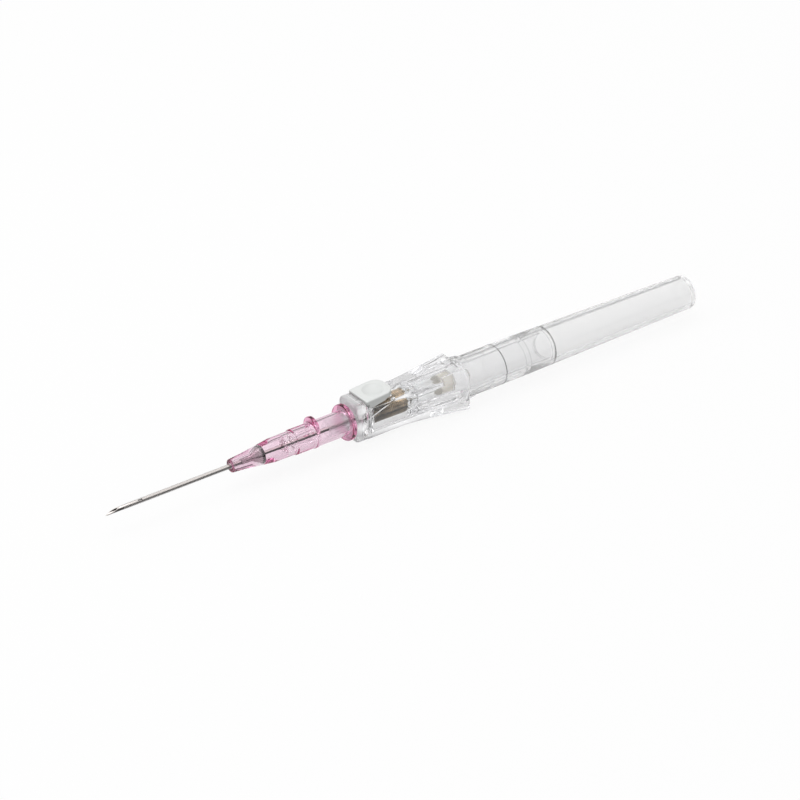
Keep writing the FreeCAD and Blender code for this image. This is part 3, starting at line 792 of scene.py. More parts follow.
def make_catheter(context):
    bore = reach("needle_cannula") + NEEDLE_GAP
    flare = wedge_outer_r() + SEAT_GAP / 2
    tube = lathe("catheter_tube", rounded([
        (TUBE_TIP, bore, 0.01),
        (TUBE_TIP, bore + TUBE_TIP_WALL, 0.02),
        (TUBE_TIP + TUBE_TAPER, TUBE_R, 3.0),
        (0, TUBE_R, 0.5),
        (WEDGE_FRONT, flare + FLARE_WALL, 0.4),
        (TUBE_REAR, flare + FLARE_WALL),
        (TUBE_REAR, flare),
        (WEDGE_FRONT - SEAT_GAP, flare),
        (WEDGE_FRONT - 0.5, bore),
    ], 5), 64)
    film, tree, principled = plastic("catheter_film", (0.90, 0.87, 0.86), 0.1, 0.05, 0.02,
                                     strength=0.01, depth=0.001)
    # The film is clear face on and grey along its edges, where the eye looks through more of it
    edge = maths(tree, "POWER", node(tree, "ShaderNodeLayerWeight").outputs["Facing"], 3.0)
    put(principled, IOR=1.34, Alpha=maths(tree, "MULTIPLY_ADD", edge, 0.55, 0.07))
    tint_by(tree, maths(tree, "MULTIPLY_ADD", edge, -0.85, 1.0))
    finish_piece("catheter_tube_film", tube, film, "catheter", "catheter_tube")

    inner = reach("needle_cannula") + NEEDLE_GAP * 2
    outer = wedge_outer_r()
    rim = reach("catheter_wedge")
    seat_end = WEDGE_FRONT + WEDGE_TUBE_LENGTH
    rim_start = WEDGE_REAR - WEDGE_RIM_LENGTH
    wedge = lathe("catheter_wedge", rounded([
        (WEDGE_FRONT, inner, 0.02),
        (WEDGE_FRONT, outer, 0.03),
        (seat_end + SEAT_GAP, outer, 0.5),
        (rim_start, rim, 0.3),
        (WEDGE_REAR, rim, 0.03),
        (WEDGE_REAR, rim - WEDGE_WALL, 0.02),
        (rim_start, rim - WEDGE_WALL * 1.5, 0.3),
        (seat_end + SEAT_GAP + WEDGE_WALL, inner, 0.5),
    ]), 96)
    steel = metal("wedge_metal", (0.45, 0.38, 0.40), 0.2, 0.12, 0.08, 0.7)
    tree = steel.node_tree
    # Painted shade: the wedge's rear rim is darkened to 0.15 of the metal's colour
    tint_by(tree, ramp_along(tree, own_axes(tree)[0], (
        (WEDGE_FRONT, 1.0), (rim_start - 0.3, 1.0), (rim_start, 0.15), (WEDGE_REAR, 0.15))))
    finish_piece("catheter_wedge_funnel", wedge, steel, "catheter", "catheter_wedge")


# Catheter hub

def luer_r(x):
    return LUER_MOUTH_R - LUER_TAPER * (HUB_REAR - x)


def tab_outline(steps=96):
    """Outline in y and z of the raised push-off tab."""
    turns = (2 * math.pi * step / steps for step in range(steps))
    return [(TAB_R * math.cos(angle), TAB_RAISE + TAB_R * math.sin(angle)) for angle in turns]


def make_hub(context):
    colours = context.scene.cannula_colours
    edge = context.scene.cannula_sizes.edge_round
    seat_r = wedge_outer_r() + FLARE_WALL + SEAT_GAP
    seat_end = WEDGE_FRONT + WEDGE_TUBE_LENGTH
    rim_start = WEDGE_REAR - WEDGE_RIM_LENGTH
    rim = reach("catheter_wedge")
    septum_r = reach("septum") + SEAT_GAP
    luer_floor = HUB_REAR - LUER_DEPTH
    flange_front = HUB_REAR - FLANGE_THICKNESS
    rib_r = HUB_REAR_R + TAB_RIB_HEIGHT
    tab_end = TAB_X + TAB_THICKNESS
    hub = lathe("catheter_hub", rounded([
        (0, HUB_NOSE_R, 0.2),
        (HUB_NOSE_LENGTH, HUB_NOSE_REAR_R, 3.0),
        (HUB_CONE_END, HUB_MIDDLE_R, 6.0),
        (HUB_STEP_X, HUB_MIDDLE_R, 0.1),
        (HUB_STEP_X + HUB_STEP_LENGTH, HUB_REAR_R, 0.1),
        (TAB_X, HUB_REAR_R, 0.12),
        (TAB_X, rib_r, edge),
        (tab_end, rib_r, edge),
        (tab_end, HUB_REAR_R, 0.12),
        (flange_front, HUB_REAR_R, 0.2),
        (flange_front, FLANGE_R, 0.26),
        (HUB_REAR, FLANGE_R, 0.26),
        (HUB_REAR, LUER_MOUTH_R, edge),
        (luer_floor, luer_r(luer_floor)),
        (SEPTUM_REAR + SEAT_GAP, septum_r),
        (SEPTUM_FRONT - SEAT_GAP, septum_r),
        (SEPTUM_FRONT - SEAT_GAP, HUB_CHAMBER_R, edge),
        (WEDGE_REAR + SEAT_GAP, rim - WEDGE_WALL, edge),
        (WEDGE_REAR + SEAT_GAP, rim + SEAT_GAP),
        (rim_start - SEAT_GAP, rim + SEAT_GAP),
        (seat_end, seat_r),
        (WEDGE_FRONT - SEAT_GAP, seat_r, 0.3),
        (0, TUBE_R + SEAT_GAP / 2, 0.06),
    ], 5), 128)
    tab = plate("hub_tab", [tab_outline()], TAB_THICKNESS * 0.98, 0.12, across(TAB_X + TAB_THICKNESS / 2))
    core_r = HUB_REAR_R - 0.25
    core = lathe("hub_core", [
        (TAB_X - 1, 0), (TAB_X - 1, core_r), (tab_end + 1, core_r), (tab_end + 1, 0)], 96)
    combine(tab, core, "DIFFERENCE")
    combine(hub, tab, "UNION")
    pink = clear_plastic("hub_pink", colours.hub, 1.46, 0.02, colours.hub_depth, 175.0,
                         smudge=0.04, drift=0.03, strength=0.06, depth=0.01)
    frost_front(pink, HUB_RIM_FROST_END, FROST_FADE, HUB_RIM_FROST)
    # Painted light on the tab and flange
    paint_rim_light(pink, colours.hub_rim_painted_light, ((TAB_X, tab_end), (flange_front, HUB_REAR)), rib_r)
    finish_piece("catheter_hub_pink", hub, pink, "catheter", "catheter_hub", 32.0)


def paint_rim_light(material, colour, bands, beyond_r):
    """Paints the thin rings that stand out from a clear moulding with a deeper tint that stands in for
    gathered light.
    """
    tree = material.node_tree
    principled = tree.nodes["Principled BSDF"]
    x = own_axes(tree)[0]
    share = maths(tree, "GREATER_THAN", off_axis(tree), beyond_r * MM)
    inside = [maths(tree, "COMPARE", x, (first + last) / 2 * MM, (last - first + 0.1) / 2 * MM)
              for first, last in bands]
    share = maths(tree, "MULTIPLY", share, maths(tree, "MAXIMUM", *inside))
    plain = principled.inputs["Base Color"].links[0].from_socket
    put(principled, Base_Color=mix_colours(tree, share, plain, (*colour, 1)))


# Septum and its actuator inside the hub

def make_blood_control(context):
    bore = reach("needle_cannula") + NEEDLE_GAP
    radius = reach("septum")
    thickness = SEPTUM_REAR - SEPTUM_FRONT
    septum = lathe("septum", rounded([
        (SEPTUM_FRONT, bore, 0.02),
        (SEPTUM_FRONT, radius, 0.15),
        (SEPTUM_REAR, radius, 0.05),
        (SEPTUM_REAR, radius * 0.75, 0.08),
        (SEPTUM_REAR - thickness * 0.25, radius * 0.55, 0.1),
        (SEPTUM_REAR - thickness * 0.25, bore, 0.02),
    ]), 96)
    rubber, _, principled = plastic("septum_rubber", (0.985, 0.975, 0.975), 0.08, 0.1, 0.02,
                                    strength=0.05, grain=0.4)
    put(principled, IOR=1.25, Transmission_Weight=0.96)
    finish_piece("septum_disc", septum, rubber, "catheter", "septum")

    collar_r = luer_r(HUB_REAR - LUER_DEPTH) - SEAT_GAP * 2
    nose_end = ACTUATOR_FRONT + ACTUATOR_NOSE_LENGTH
    collar = ACTUATOR_REAR - ACTUATOR_COLLAR_LENGTH
    actuator = lathe("septum_actuator", rounded([
        (ACTUATOR_FRONT, ACTUATOR_HOLE_R * 0.8, 0.03),
        (ACTUATOR_FRONT, ACTUATOR_HOLE_R, 0.05),
        (nose_end, ACTUATOR_BODY_R, 0.2),
        (collar, ACTUATOR_BODY_R, 0.08),
        (collar, collar_r, 0.06),
        (ACTUATOR_REAR, collar_r, 0.08),
        (ACTUATOR_REAR, ACTUATOR_HOLE_R, 0.05),
        (nose_end, ACTUATOR_HOLE_R * 0.8, 0.2),
    ]), 96)
    milky, _, principled = plastic("actuator_plastic", (0.99, 0.98, 0.985), 0.03, 0.05, 0.02, strength=0.03)
    put(principled, IOR=1.22, Transmission_Weight=0.98)
    finish_piece("septum_actuator_plunger", actuator, milky, "actuator",
                 "septum_actuator")


# Needle carriage with its adhesive and vent plug

def make_carriage(context):
    sizes = context.scene.cannula_sizes
    inner = reach("needle_cannula") + NEEDLE_GAP / 2
    head_end = HEAD_X + HEAD_LENGTH
    head_r = reach("needle_carriage")
    knob_end = CARRIAGE_FRONT + KNOB_LENGTH
    neck_end = LATCH_X + LATCH_THICKNESS + 0.07
    step_x = head_end + CHAMBER_STEP
    carriage = lathe("needle_carriage", rounded([
        (CARRIAGE_FRONT, inner),
        (CARRIAGE_FRONT, KNOB_R, 0.3),
        (knob_end, KNOB_R, 0.06),
        (knob_end, NECK_R, 0.06),
        (neck_end, NECK_R, 0.06),
        (neck_end + 0.3, STEM_R, 0.1),
        (HEAD_X, STEM_R, 0.12),
        (HEAD_X, head_r, 0.06),
        (HEAD_X + HEAD_RIM, head_r, 0.04),
        (HEAD_X + HEAD_RIM, head_r - HEAD_RIB_HEIGHT),
        (head_end - HEAD_RIM, head_r - HEAD_RIB_HEIGHT),
        (head_end - HEAD_RIM, head_r, 0.04),
        (head_end, head_r, 0.08),
        (head_end, CHAMBER_R, 0.1),
        (step_x, CHAMBER_R, 0.08),
        (step_x + 0.25, CHAMBER_REAR_R, 0.1),
        (CARRIAGE_REAR, CHAMBER_REAR_R, 0.12),
        (CARRIAGE_REAR, reach("vent_plug") + SEAT_GAP, 0.05),
        (PLUG_FRONT - SEAT_GAP, reach("vent_plug") + SEAT_GAP),
        (PLUG_FRONT - SEAT_GAP, FLASH_BORE_R, 0.05),
        (ADHESIVE_FRONT - SEAT_GAP, FLASH_BORE_R, 0.1),
        (ADHESIVE_FRONT - SEAT_GAP, inner),
    ], 5), 128)
    ribs = grow("head_ribs", build_rib_tree(), {
        "Count": sizes.head_ribs, "Radius": head_r - HEAD_RIB_HEIGHT, "Height": HEAD_RIB_HEIGHT * 2 - 0.01,
        "Width": HEAD_RIB_WIDTH, "Length": HEAD_LENGTH * 0.7, "Middle": HEAD_X + HEAD_LENGTH * 0.5})
    combine(carriage, ribs, "UNION")
    clear = clear_plastic("carriage_clear", (0.97, 0.975, 0.975), 1.5, 0.05, (0.8, 0.83, 0.85), 25.0,
                          smudge=0.05, drift=0.03)
    finish_piece("needle_carriage_clear", carriage, clear, "carriage", "needle_carriage")

    bead = lathe("needle_adhesive", rounded([
        (ADHESIVE_FRONT, inner),
        (ADHESIVE_FRONT, FLASH_BORE_R - SEAT_GAP, 0.05),
        (ADHESIVE_FRONT + 0.27, FLASH_BORE_R - SEAT_GAP, 0.3),
        (ADHESIVE_REAR, inner + 0.1, 0.08),
        (ADHESIVE_REAR, inner),
    ]), 64)
    amber, _, principled = plastic("adhesive_bead", (0.82, 0.75, 0.6), 0.08, 0.05, 0.1)
    put(principled, Transmission_Weight=0.5)
    finish_piece("needle_adhesive_bead", bead, amber, "carriage", "needle_adhesive")

    plug_r = reach("vent_plug")
    plug = lathe("vent_plug", rounded([
        (PLUG_FRONT, 0),
        (PLUG_FRONT, plug_r, 0.3),
        (PLUG_REAR, plug_r, 0.3),
        (PLUG_REAR, 0),
    ]), 64)
    porous, tree, principled = plastic("vent_plug_porous", (0.95, 0.90, 0.82), 0.5, 0.1, 0.12,
                                       strength=0.9, depth=0.05, grain=1.0, ripple_scale=1500.0,
                                       grain_scale=6000.0)
    # Painted shade darkens its ends, and a little painted glow makes up for the light that the plastic round
    # it keeps off
    tint_by(tree, ramp_along(tree, own_axes(tree)[0], (
        (PLUG_FRONT, 0.3), (PLUG_FRONT + 0.5, 1.0), (PLUG_REAR - 0.6, 1.0), (PLUG_REAR, 0.45))))
    put(principled, Emission_Color=(1.0, 0.93, 0.82, 1), Emission_Strength=0.25)
    finish_piece("vent_plug_porous", plug, porous, "carriage", "vent_plug")


def build_rib_tree():
    """Ring of short ribs round the device axis."""
    tree, given, out = new_group("head_ribs", "GeometryNodeTree", (
        ("Count", "Int", 26), ("Radius", "Float", 2.3), ("Height", "Float", 0.3), ("Width", "Float", 0.2),
        ("Length", "Float", 0.9), ("Middle", "Float", 44.0), ("Material", "Material")),
        (("Geometry", "Geometry"),))
    ring = put(node(tree, "GeometryNodeMeshCircle"), Vertices=given.outputs["Count"],
               Radius=given.outputs["Radius"])
    size = node(tree, "ShaderNodeCombineXYZ")
    for index, name in enumerate(("Height", "Width", "Length")):
        tree.links.new(given.outputs[name], size.inputs[index])
    rib = put(node(tree, "GeometryNodeMeshCube"), Size=size.outputs[0])
    outward = put(node(tree, "FunctionNodeAlignRotationToVector", axis="X"),
                  Vector=node(tree, "GeometryNodeInputPosition").outputs[0])
    spread = put(node(tree, "GeometryNodeInstanceOnPoints"), Points=ring.outputs[0], Instance=rib.outputs[0],
                 Rotation=outward.outputs[0])
    end_tree(tree, along_axis(tree, spread.outputs[0], given.outputs["Middle"]), given, out)
    return tree


def along_axis(tree, geometry, start):
    """Turns what was made about Z to lie about the device axis, and moves it back to its start."""
    place = node(tree, "ShaderNodeCombineXYZ")
    tree.links.new(start, place.inputs[0])
    turn = put(node(tree, "GeometryNodeTransform"), Geometry=geometry, Translation=place.outputs[0],
               Rotation=(0, math.radians(90), 0))
    return turn.outputs[0]


# Retraction spring, a coil that follows a rule

def build_coil_tree():
    """Closed coil of round wire about the device axis."""
    tree, given, out = new_group("retraction_coil", "GeometryNodeTree", (
        ("Turns", "Float", 19.0), ("Mean Radius", "Float", 2.17), ("Length", "Float", 8.94),
        ("Start", "Float", 34.0), ("Wire Radius", "Float", 0.18), ("Material", "Material")),
        (("Geometry", "Geometry"),))
    radius = given.outputs["Mean Radius"]
    spiral = put(node(tree, "GeometryNodeCurveSpiral"), Resolution=40, Rotations=given.outputs["Turns"],
                 Start_Radius=radius, End_Radius=radius, Height=given.outputs["Length"])
    wire = node(tree, "GeometryNodeCurvePrimitiveCircle")
    wire.inputs["Resolution"].default_value = 14
    tree.links.new(given.outputs["Wire Radius"], wire.inputs["Radius"])
    sweep = put(node(tree, "GeometryNodeCurveToMesh"), Fill_Caps=True, Curve=spiral.outputs[0],
                Profile_Curve=wire.outputs[0])
    end_tree(tree, along_axis(tree, sweep.outputs[0], given.outputs["Start"]), given, out)
    return tree


def end_tree(tree, geometry, given, out):
    """Real geometry with its material, as every tree here ends."""
    real = put(node(tree, "GeometryNodeRealizeInstances"), Geometry=geometry)
    paint = put(node(tree, "GeometryNodeSetMaterial"), Geometry=real.outputs[0],
                Material=given.outputs["Material"])
    put(out, Geometry=paint.outputs[0])


def grow(name, tree, values):
    """Draft made by a geometry tree, with its inputs given by name and set by identifier."""
    obj = draft(name, bpy.data.meshes.new(name))
    modifier = obj.modifiers.new("grow", "NODES")
    modifier.node_group = tree
    identifiers = {item.name: item.identifier for item in tree.interface.items_tree
                   if item.item_type == "SOCKET" and item.in_out == "INPUT"}
    for key, value in values.items():
        modifier[identifiers[key]] = value
    return settle(obj)


def make_spring(context):
    sizes = context.scene.cannula_sizes
    wire_r = sizes.spring_wire / 2 / MM
    start = SPRING_FRONT + wire_r
    length = SPRING_REAR - SPRING_FRONT - 2 * wire_r
    bronze = metal("spring_bronze", context.scene.cannula_colours.spring, 0.25, 0.15, 0.1, 0.55)
    tree = bronze.node_tree
    x, _, z = own_axes(tree)
    # Patches from wire to wire, stretched round the coil
    patches = maths(tree, "MULTIPLY_ADD", noise(tree, 900.0, 2.0, (1.0, 0.15, 0.15)), 2.2, -0.35)
    # Painted shade over the coil, by its place along the axis and its height
    shade = maths(tree, "MULTIPLY", ramp_along(tree, x, SPRING_PAINTED_SHADE_ALONG),
                  ramp_along(tree, z, SPRING_PAINTED_SHADE_UP))
    tint_by(tree, maths(tree, "MULTIPLY", shade, patches))
    coil = grow("retraction_spring", build_coil_tree(), {
        "Turns": float(sizes.spring_turns), "Mean Radius": reach("retraction_spring") - wire_r,
        "Length": length, "Start": start, "Wire Radius": wire_r, "Material": bronze})
    clean(coil.data)
    piece = finish_piece("retraction_spring_coil", coil, bronze, "carriage",
                         "retraction_spring")
    # The coil is taken off the carriage's body and left where it stands
    piece.parent = None
    del piece["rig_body"]
    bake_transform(piece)


# Clear grip housing

def make_grip(context):
    colours = context.scene.cannula_colours
    mesh = frame["nodes"]["grip_housing"].data.copy()
    mesh.transform(Matrix.Scale(1 / MM, 4))
    bm = bmesh.new()
    bm.from_mesh(mesh)
    bmesh.ops.remove_doubles(bm, verts=bm.verts, dist=0.0005)
    bmesh.ops.dissolve_limit(bm, angle_limit=math.radians(1.0), verts=bm.verts, edges=bm.edges)
    bm.to_mesh(mesh)
    bm.free()
    grip = draft("grip_housing", mesh)
    soften(grip, context.scene.cannula_sizes.edge_round, 32.0)
    clear = clear_plastic("grip_clear", colours.grip, 1.5, 0.03, (0.78, 0.78, 0.83), 10.0,
                          smudge=0.06, drift=0.03, strength=0.2, depth=0.012)
    frost_front(clear, NOSE_END, FROST_FADE, FROST)
    # The spigot and the sleeve sit snug in other pieces, so their surfaces bend light less
    tree = clear.node_tree
    put(tree.nodes["Principled BSDF"], IOR=ramp_along(tree, own_axes(tree)[0], GRIP_INDEX))
    finish_piece("grip_housing_clear", grip, clear, "housing", "grip_housing", 32.0)


def frost_front(material, end, fade, amount):
    """Gives a clear moulding a lightly frosted front, which fades out over a short way before its end."""
    tree = material.node_tree
    principled = tree.nodes["Principled BSDF"]
    share = ramp_along(tree, own_axes(tree)[0], ((end - fade, amount), (end, 0.0)))
    plain = principled.inputs["Roughness"].links[0].from_socket
    put(principled, Roughness=maths(tree, "ADD", plain, share))


# Push button

def cap_outline(count=144):
    """Evenly spaced points round the button's cap: straight front and sides, rounded rear."""
    half = reach("push_button")
    corners = rounded([
        (BUTTON_REAR, half, CAP_REAR_ROUND),
        (BUTTON_REAR, -half, CAP_REAR_ROUND),
        (BUTTON_FRONT, -half, CAP_FRONT_ROUND),
        (BUTTON_FRONT, half, CAP_FRONT_ROUND),
    ], 16)
    lengths = [0.0]
    loop = corners + corners[:1]
    for first, second in zip(loop, loop[1:]):
        lengths.append(lengths[-1] + math.dist(first, second))
    points = []
    segment = 0
    for step in range(count):
        along = lengths[-1] * step / count
        while lengths[segment + 1] < along:
            segment += 1
        share = (along - lengths[segment]) / (lengths[segment + 1] - lengths[segment])
        points.append(Vector(loop[segment]).lerp(Vector(loop[segment + 1]), share))
    return points


def make_button(context):
    sizes = context.scene.cannula_sizes
    colours = context.scene.cannula_colours
    edge = CAP_EDGE_ROUND
    dish_r = sizes.dish_radius / MM
    dish_depth = sizes.dish_depth / MM
    slope = (CAP_REAR_Z - CAP_FRONT_Z) / (BUTTON_REAR - BUTTON_FRONT)
    centre = Vector((BUTTON_FRONT + DISH_FROM_FRONT, 0))
    outline = cap_outline()
    middle = Vector(((BUTTON_FRONT + BUTTON_REAR) / 2, 0))

    def top(point):
        return CAP_FRONT_Z + slope * (point.x - BUTTON_FRONT)

    def inset(point, amount):
        """The outline's point moved in, by an equal amount on the long and the short side."""
        half = Vector(((BUTTON_REAR - BUTTON_FRONT) / 2, reach("push_button")))
        offset = point - middle
        return middle + Vector((offset.x * (1 - amount / half.x), offset.y * (1 - amount / half.y)))

    def rim_point(point):
        return centre + (point - centre).normalized() * dish_r

    rings = [[(middle.x, 0, CAP_UNDER_Z)]]
    for amount, z in ((1.2, 0.0), (0.1, 0.0), (0.03, 0.02), (0.0, 0.1)):
        rings.append([(*inset(point, amount), CAP_UNDER_Z + z) for point in outline])
    for step in range(7):
        angle = math.radians(90) * step / 6
        amount = edge * (1 - math.cos(angle))
        drop = edge * (1 - math.sin(angle))
        rings.append([(*inset(point, amount), top(point) - drop) for point in outline])
    shoulder = [inset(point, edge) for point in outline]
    for share in (0.15, 0.4, 0.65, 0.85, 0.94):
        ring = [flat.lerp(rim_point(flat), share) for flat in shoulder]
        rings.append([(*flat, top(flat)) for flat in ring])
    for share, sink in ((1.0, 0.02), (0.965, 0.075), (0.93, 0.15), (0.86, 0.29), (0.75, 0.47), (0.6, 0.66),
                        (0.45, 0.81), (0.3, 0.91), (0.15, 0.98)):
        ring = [centre + (rim_point(flat) - centre) * share for flat in shoulder]
        rings.append([(*flat, top(flat) - dish_depth * sink) for flat in ring])
    rings.append([(centre.x, 0, top(centre) - dish_depth)])
    cap = stack("push_button", rings)
    white, tree, principled = plastic("button_white", colours.button, 0.3, 0.25, 0.03, strength=0.12,
                                      grain=0.5, depth=0.012)
    # Painted shade: faces darken as they turn from up to the side
    upward = maths(tree, "MAXIMUM", upwardness(tree), 0.0)
    tint_by(tree, maths(tree, "MULTIPLY_ADD", upward, 1.0 - BUTTON_PAINTED_SIDE_SHADE, BUTTON_PAINTED_SIDE_SHADE))
    put(principled, Subsurface_Weight=0.15, Subsurface_Radius=(0.9 * MM, 0.9 * MM, 0.9 * MM),
        Subsurface_Scale=1.0)
    finish_piece("push_button_cap", cap, white, "button", "push_button", 40.0)

    skirt_front = BUTTON_FRONT + 0.72
    skirt_rear = BUTTON_REAR - CAP_REAR_ROUND
    side_outline = rounded([
        (skirt_front, CAP_UNDER_Z + 0.05),
        (skirt_front, CAP_UNDER_Z - SKIRT_DEPTH, 0.3),
        (skirt_front + 1.0, CAP_UNDER_Z - SKIRT_DEPTH, 0.8),
        (skirt_rear, CAP_UNDER_Z - SKIRT_DEPTH * 0.25, 0.3),
        (skirt_rear, CAP_UNDER_Z + 0.05),
    ])
    for side, word in ((-1, "near"), (1, "far")):
        offset = side * (SKIRT_INNER + SKIRT_THICKNESS / 2)
        upright = Matrix(((1, 0, 0, 0), (0, 0, -1, offset), (0, 1, 0, 0), (0, 0, 0, 1)))
        skirt = plate("button_skirt", [side_outline], SKIRT_THICKNESS, 0.04, upright)
        finish_piece("push_button_skirt_" + word, skirt, white, "button")

    latch_outline = rounded([
        (-LATCH_HALF_Y, LATCH_FOOT_Z, 0.3), (LATCH_HALF_Y, LATCH_FOOT_Z, 0.3),
        (LATCH_HALF_Y, CAP_UNDER_Z + 0.03), (-LATCH_HALF_Y, CAP_UNDER_Z + 0.03)])
    latch = plate("button_latch", [latch_outline, keyhole_outline()], LATCH_THICKNESS, 0.05,
                  across(LATCH_X + LATCH_THICKNESS / 2))
    finish_piece("push_button_latch", latch, white, "button")


def keyhole_outline(steps=24):
    """Narrow slot round the neck, with the knob's round hole one travel above it."""
    join = math.asin(LATCH_NECK_R / LATCH_KNOB_R)
    points = []
    for step in range(steps + 1):
        angle = math.pi + math.pi * step / steps
        points.append((LATCH_NECK_R * math.cos(angle), LATCH_NECK_R * math.sin(angle)))
    first = -math.pi / 2 + join
    for step in range(2 * steps + 1):
        angle = first + (2 * math.pi - 2 * join) * step / (2 * steps)
        points.append((LATCH_KNOB_R * math.cos(angle), BUTTON_TRAVEL + LATCH_KNOB_R * math.sin(angle)))
    return points


# Rear barrel

def make_barrel(context):
    colours = context.scene.cannula_colours
    mouth_r = reach("rear_barrel")
    taper_x = BARREL_FRONT + BARREL_STRAIGHT
    step_x = SLEEVE_END + BARREL_STEP_GAP
    floor_x = BARREL_REAR - BARREL_END_WALL
    share = (step_x - taper_x) / (BARREL_REAR - taper_x)
    step_r = mouth_r + (BARREL_END_R - mouth_r) * share - BARREL_REAR_WALL - 0.2

    def outer_r(x):
        return mouth_r + (BARREL_END_R - mouth_r) * max(0.0, x - taper_x) / (BARREL_REAR - taper_x)

    groove_points = []
    for x, depth in BARREL_GROOVES:
        half = BARREL_GROOVE_WIDTH / 2
        groove_points += [(x - half, outer_r(x)), (x, outer_r(x) - depth), (x + half, outer_r(x))]
    barrel = lathe("rear_barrel", rounded([
        (BARREL_FRONT, mouth_r, 0.1),
        *groove_points,
        (BARREL_REAR, BARREL_END_R, BARREL_END_ROUND),
        (BARREL_REAR, 0),
        (floor_x, 0),
        (floor_x, BARREL_END_R - BARREL_REAR_WALL, 0.1),
        (step_x, step_r, 0.1),
        (step_x, BARREL_BORE_R, 0.05),
        (BARREL_FRONT, BARREL_BORE_R, 0.08),
    ], 8), 160)
    pale, tree, principled = plastic("barrel_pale", colours.barrel, 0.1, 0.06, 0.02, strength=0.08,
                                     depth=0.012, ripple_scale=90.0)
    put(principled, IOR=1.32, Transmission_Weight=0.86)
    absorb(tree, (0.78, 0.78, 0.8), 4.0)
    # Painted shade in the grooves, in step with their depth
    x = own_axes(tree)[0]
    shade = maths(tree, "GREATER_THAN", off_axis(tree), (outer_r(BARREL_REAR) - 0.2) * MM)
    groove_shades = [maths(tree, "MULTIPLY", maths(tree, "COMPARE", x, at * MM, BARREL_GROOVE_WIDTH / 2 * MM),
                  min(BARREL_GROOVE_PAINTED_DARKEST, depth * BARREL_GROOVE_PAINTED_SHADE)) for at, depth in BARREL_GROOVES]
    cut = groove_shades[0]
    for other in groove_shades[1:]:
        cut = maths(tree, "MAXIMUM", cut, other)
    # Only their surface seen from outside gets the painted shade, so their far side through the barrel stays
    # clear
    outside = maths(tree, "SUBTRACT", 1.0, node(tree, "ShaderNodeNewGeometry").outputs["Backfacing"])
    shade = maths(tree, "MULTIPLY", shade, outside)
    tint_by(tree, maths(tree, "SUBTRACT", 1.0, maths(tree, "MULTIPLY", cut, shade)))
    finish_piece("rear_barrel_pale", barrel, pale, "housing", "rear_barrel")


# Floor, light and camera

def make_floor():
    """Pale floor that glows for the most part, so it shows no more than the object's shadow."""
    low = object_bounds()[0].z
    half = FLOOR_HALF_SIZE
    corners = [(-half, -half, low), (half, -half, low), (half, half, low), (-half, half, low)]
    mesh = bpy.data.meshes.new("floor")
    mesh.from_pydata(corners, [], [(0, 1, 2, 3)])
    floor = bpy.data.objects.new("floor", mesh)
    bpy.context.scene.collection.objects.link(floor)
    material = bpy.data.materials.new("floor_white")
    material.use_nodes = True
    tree = material.node_tree
    tree.nodes.remove(tree.nodes["Principled BSDF"])
    path = node(tree, "ShaderNodeLightPath")
    mirrored = maths(tree, "MULTIPLY", path.outputs["Is Glossy Ray"], FLOOR_LOST_IN_MIRRORS)
    plain = maths(tree, "SUBTRACT", 1.0, mirrored)
    matte = put(node(tree, "ShaderNodeBsdfDiffuse"), Color=(FLOOR_PALE, FLOOR_PALE, FLOOR_PALE, 1))
    white = node(tree, "ShaderNodeEmission")
    mix = node(tree, "ShaderNodeMixShader")
    for index, value in enumerate((maths(tree, "MULTIPLY", plain, FLOOR_GLOW), matte.outputs[0],
                                   white.outputs[0])):
        feed(mix.inputs[index], value)
    put(tree.nodes["Material Output"], Surface=mix.outputs[0])
    mesh.materials.append(material)
    floor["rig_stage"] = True


def sky_ramp(tree, place, stops):
    """Brightness of the sky by place, from its stops."""
    ramp = node(tree, "ShaderNodeValToRGB")
    for index, (position, value) in enumerate(stops):
        stop = ramp.color_ramp.elements[index] if index < 2 else ramp.color_ramp.elements.new(position)
        stop.position = position
        stop.color = (value, value, value, 1)
    tree.links.new(place, ramp.inputs[0])
    return ramp.outputs[0]


def make_world():
    """White studio with a dark room behind the camera, and a dark horizon that metal mirrors."""
    world = bpy.data.worlds.new("studio")
    bpy.context.scene.world = world
    world.use_nodes = True
    tree = world.node_tree
    background = tree.nodes["Background"]
    direction = node(tree, "ShaderNodeTexCoord").outputs["Generated"]
    height = put(node(tree, "ShaderNodeSeparateXYZ"), Vector=direction).outputs[2]
    towards = node(tree, "ShaderNodeVectorMath", operation="DOT_PRODUCT")
    feed(towards.inputs[0], direction)
    feed(towards.inputs[1], camera_back())
    path = node(tree, "ShaderNodeLightPath")
    colour = mix_colours(tree, path.outputs["Is Glossy Ray"],
                         sky_ramp(tree, towards.outputs["Value"], ROOM_SKY),
                         sky_ramp(tree, height, MIRRORED_SKY))
    soft = maths(tree, "GREATER_THAN", path.outputs["Diffuse Depth"], 0.5)
    colour = mix_colours(tree, soft, colour, sky_ramp(tree, height, SOFT_SKY))
    colour = mix_colours(tree, path.outputs["Is Camera Ray"], colour, (1, 1, 1, 1))
    put(background, Color=colour, Strength=1.0)


def make_lamp(name, place, size, power, aim=(0.04, 0, 0)):
    light = bpy.data.lights.new(name, "AREA")
    light.shape = "RECTANGLE"
    light.size, light.size_y = size
    light.energy = power
    lamp = bpy.data.objects.new(name, light)
    lamp.location = place
    lamp.rotation_euler = (Vector(aim) - Vector(place)).to_track_quat("-Z", "Y").to_euler()
    bpy.context.scene.collection.objects.link(lamp)


def camera_back():
    """Direction from the object to the camera."""
    azimuth, elevation = math.radians(CAMERA_AZIMUTH), math.radians(CAMERA_ELEVATION)
    return Vector((math.sin(azimuth) * math.cos(elevation), -math.cos(azimuth) * math.cos(elevation),
                   math.sin(elevation)))


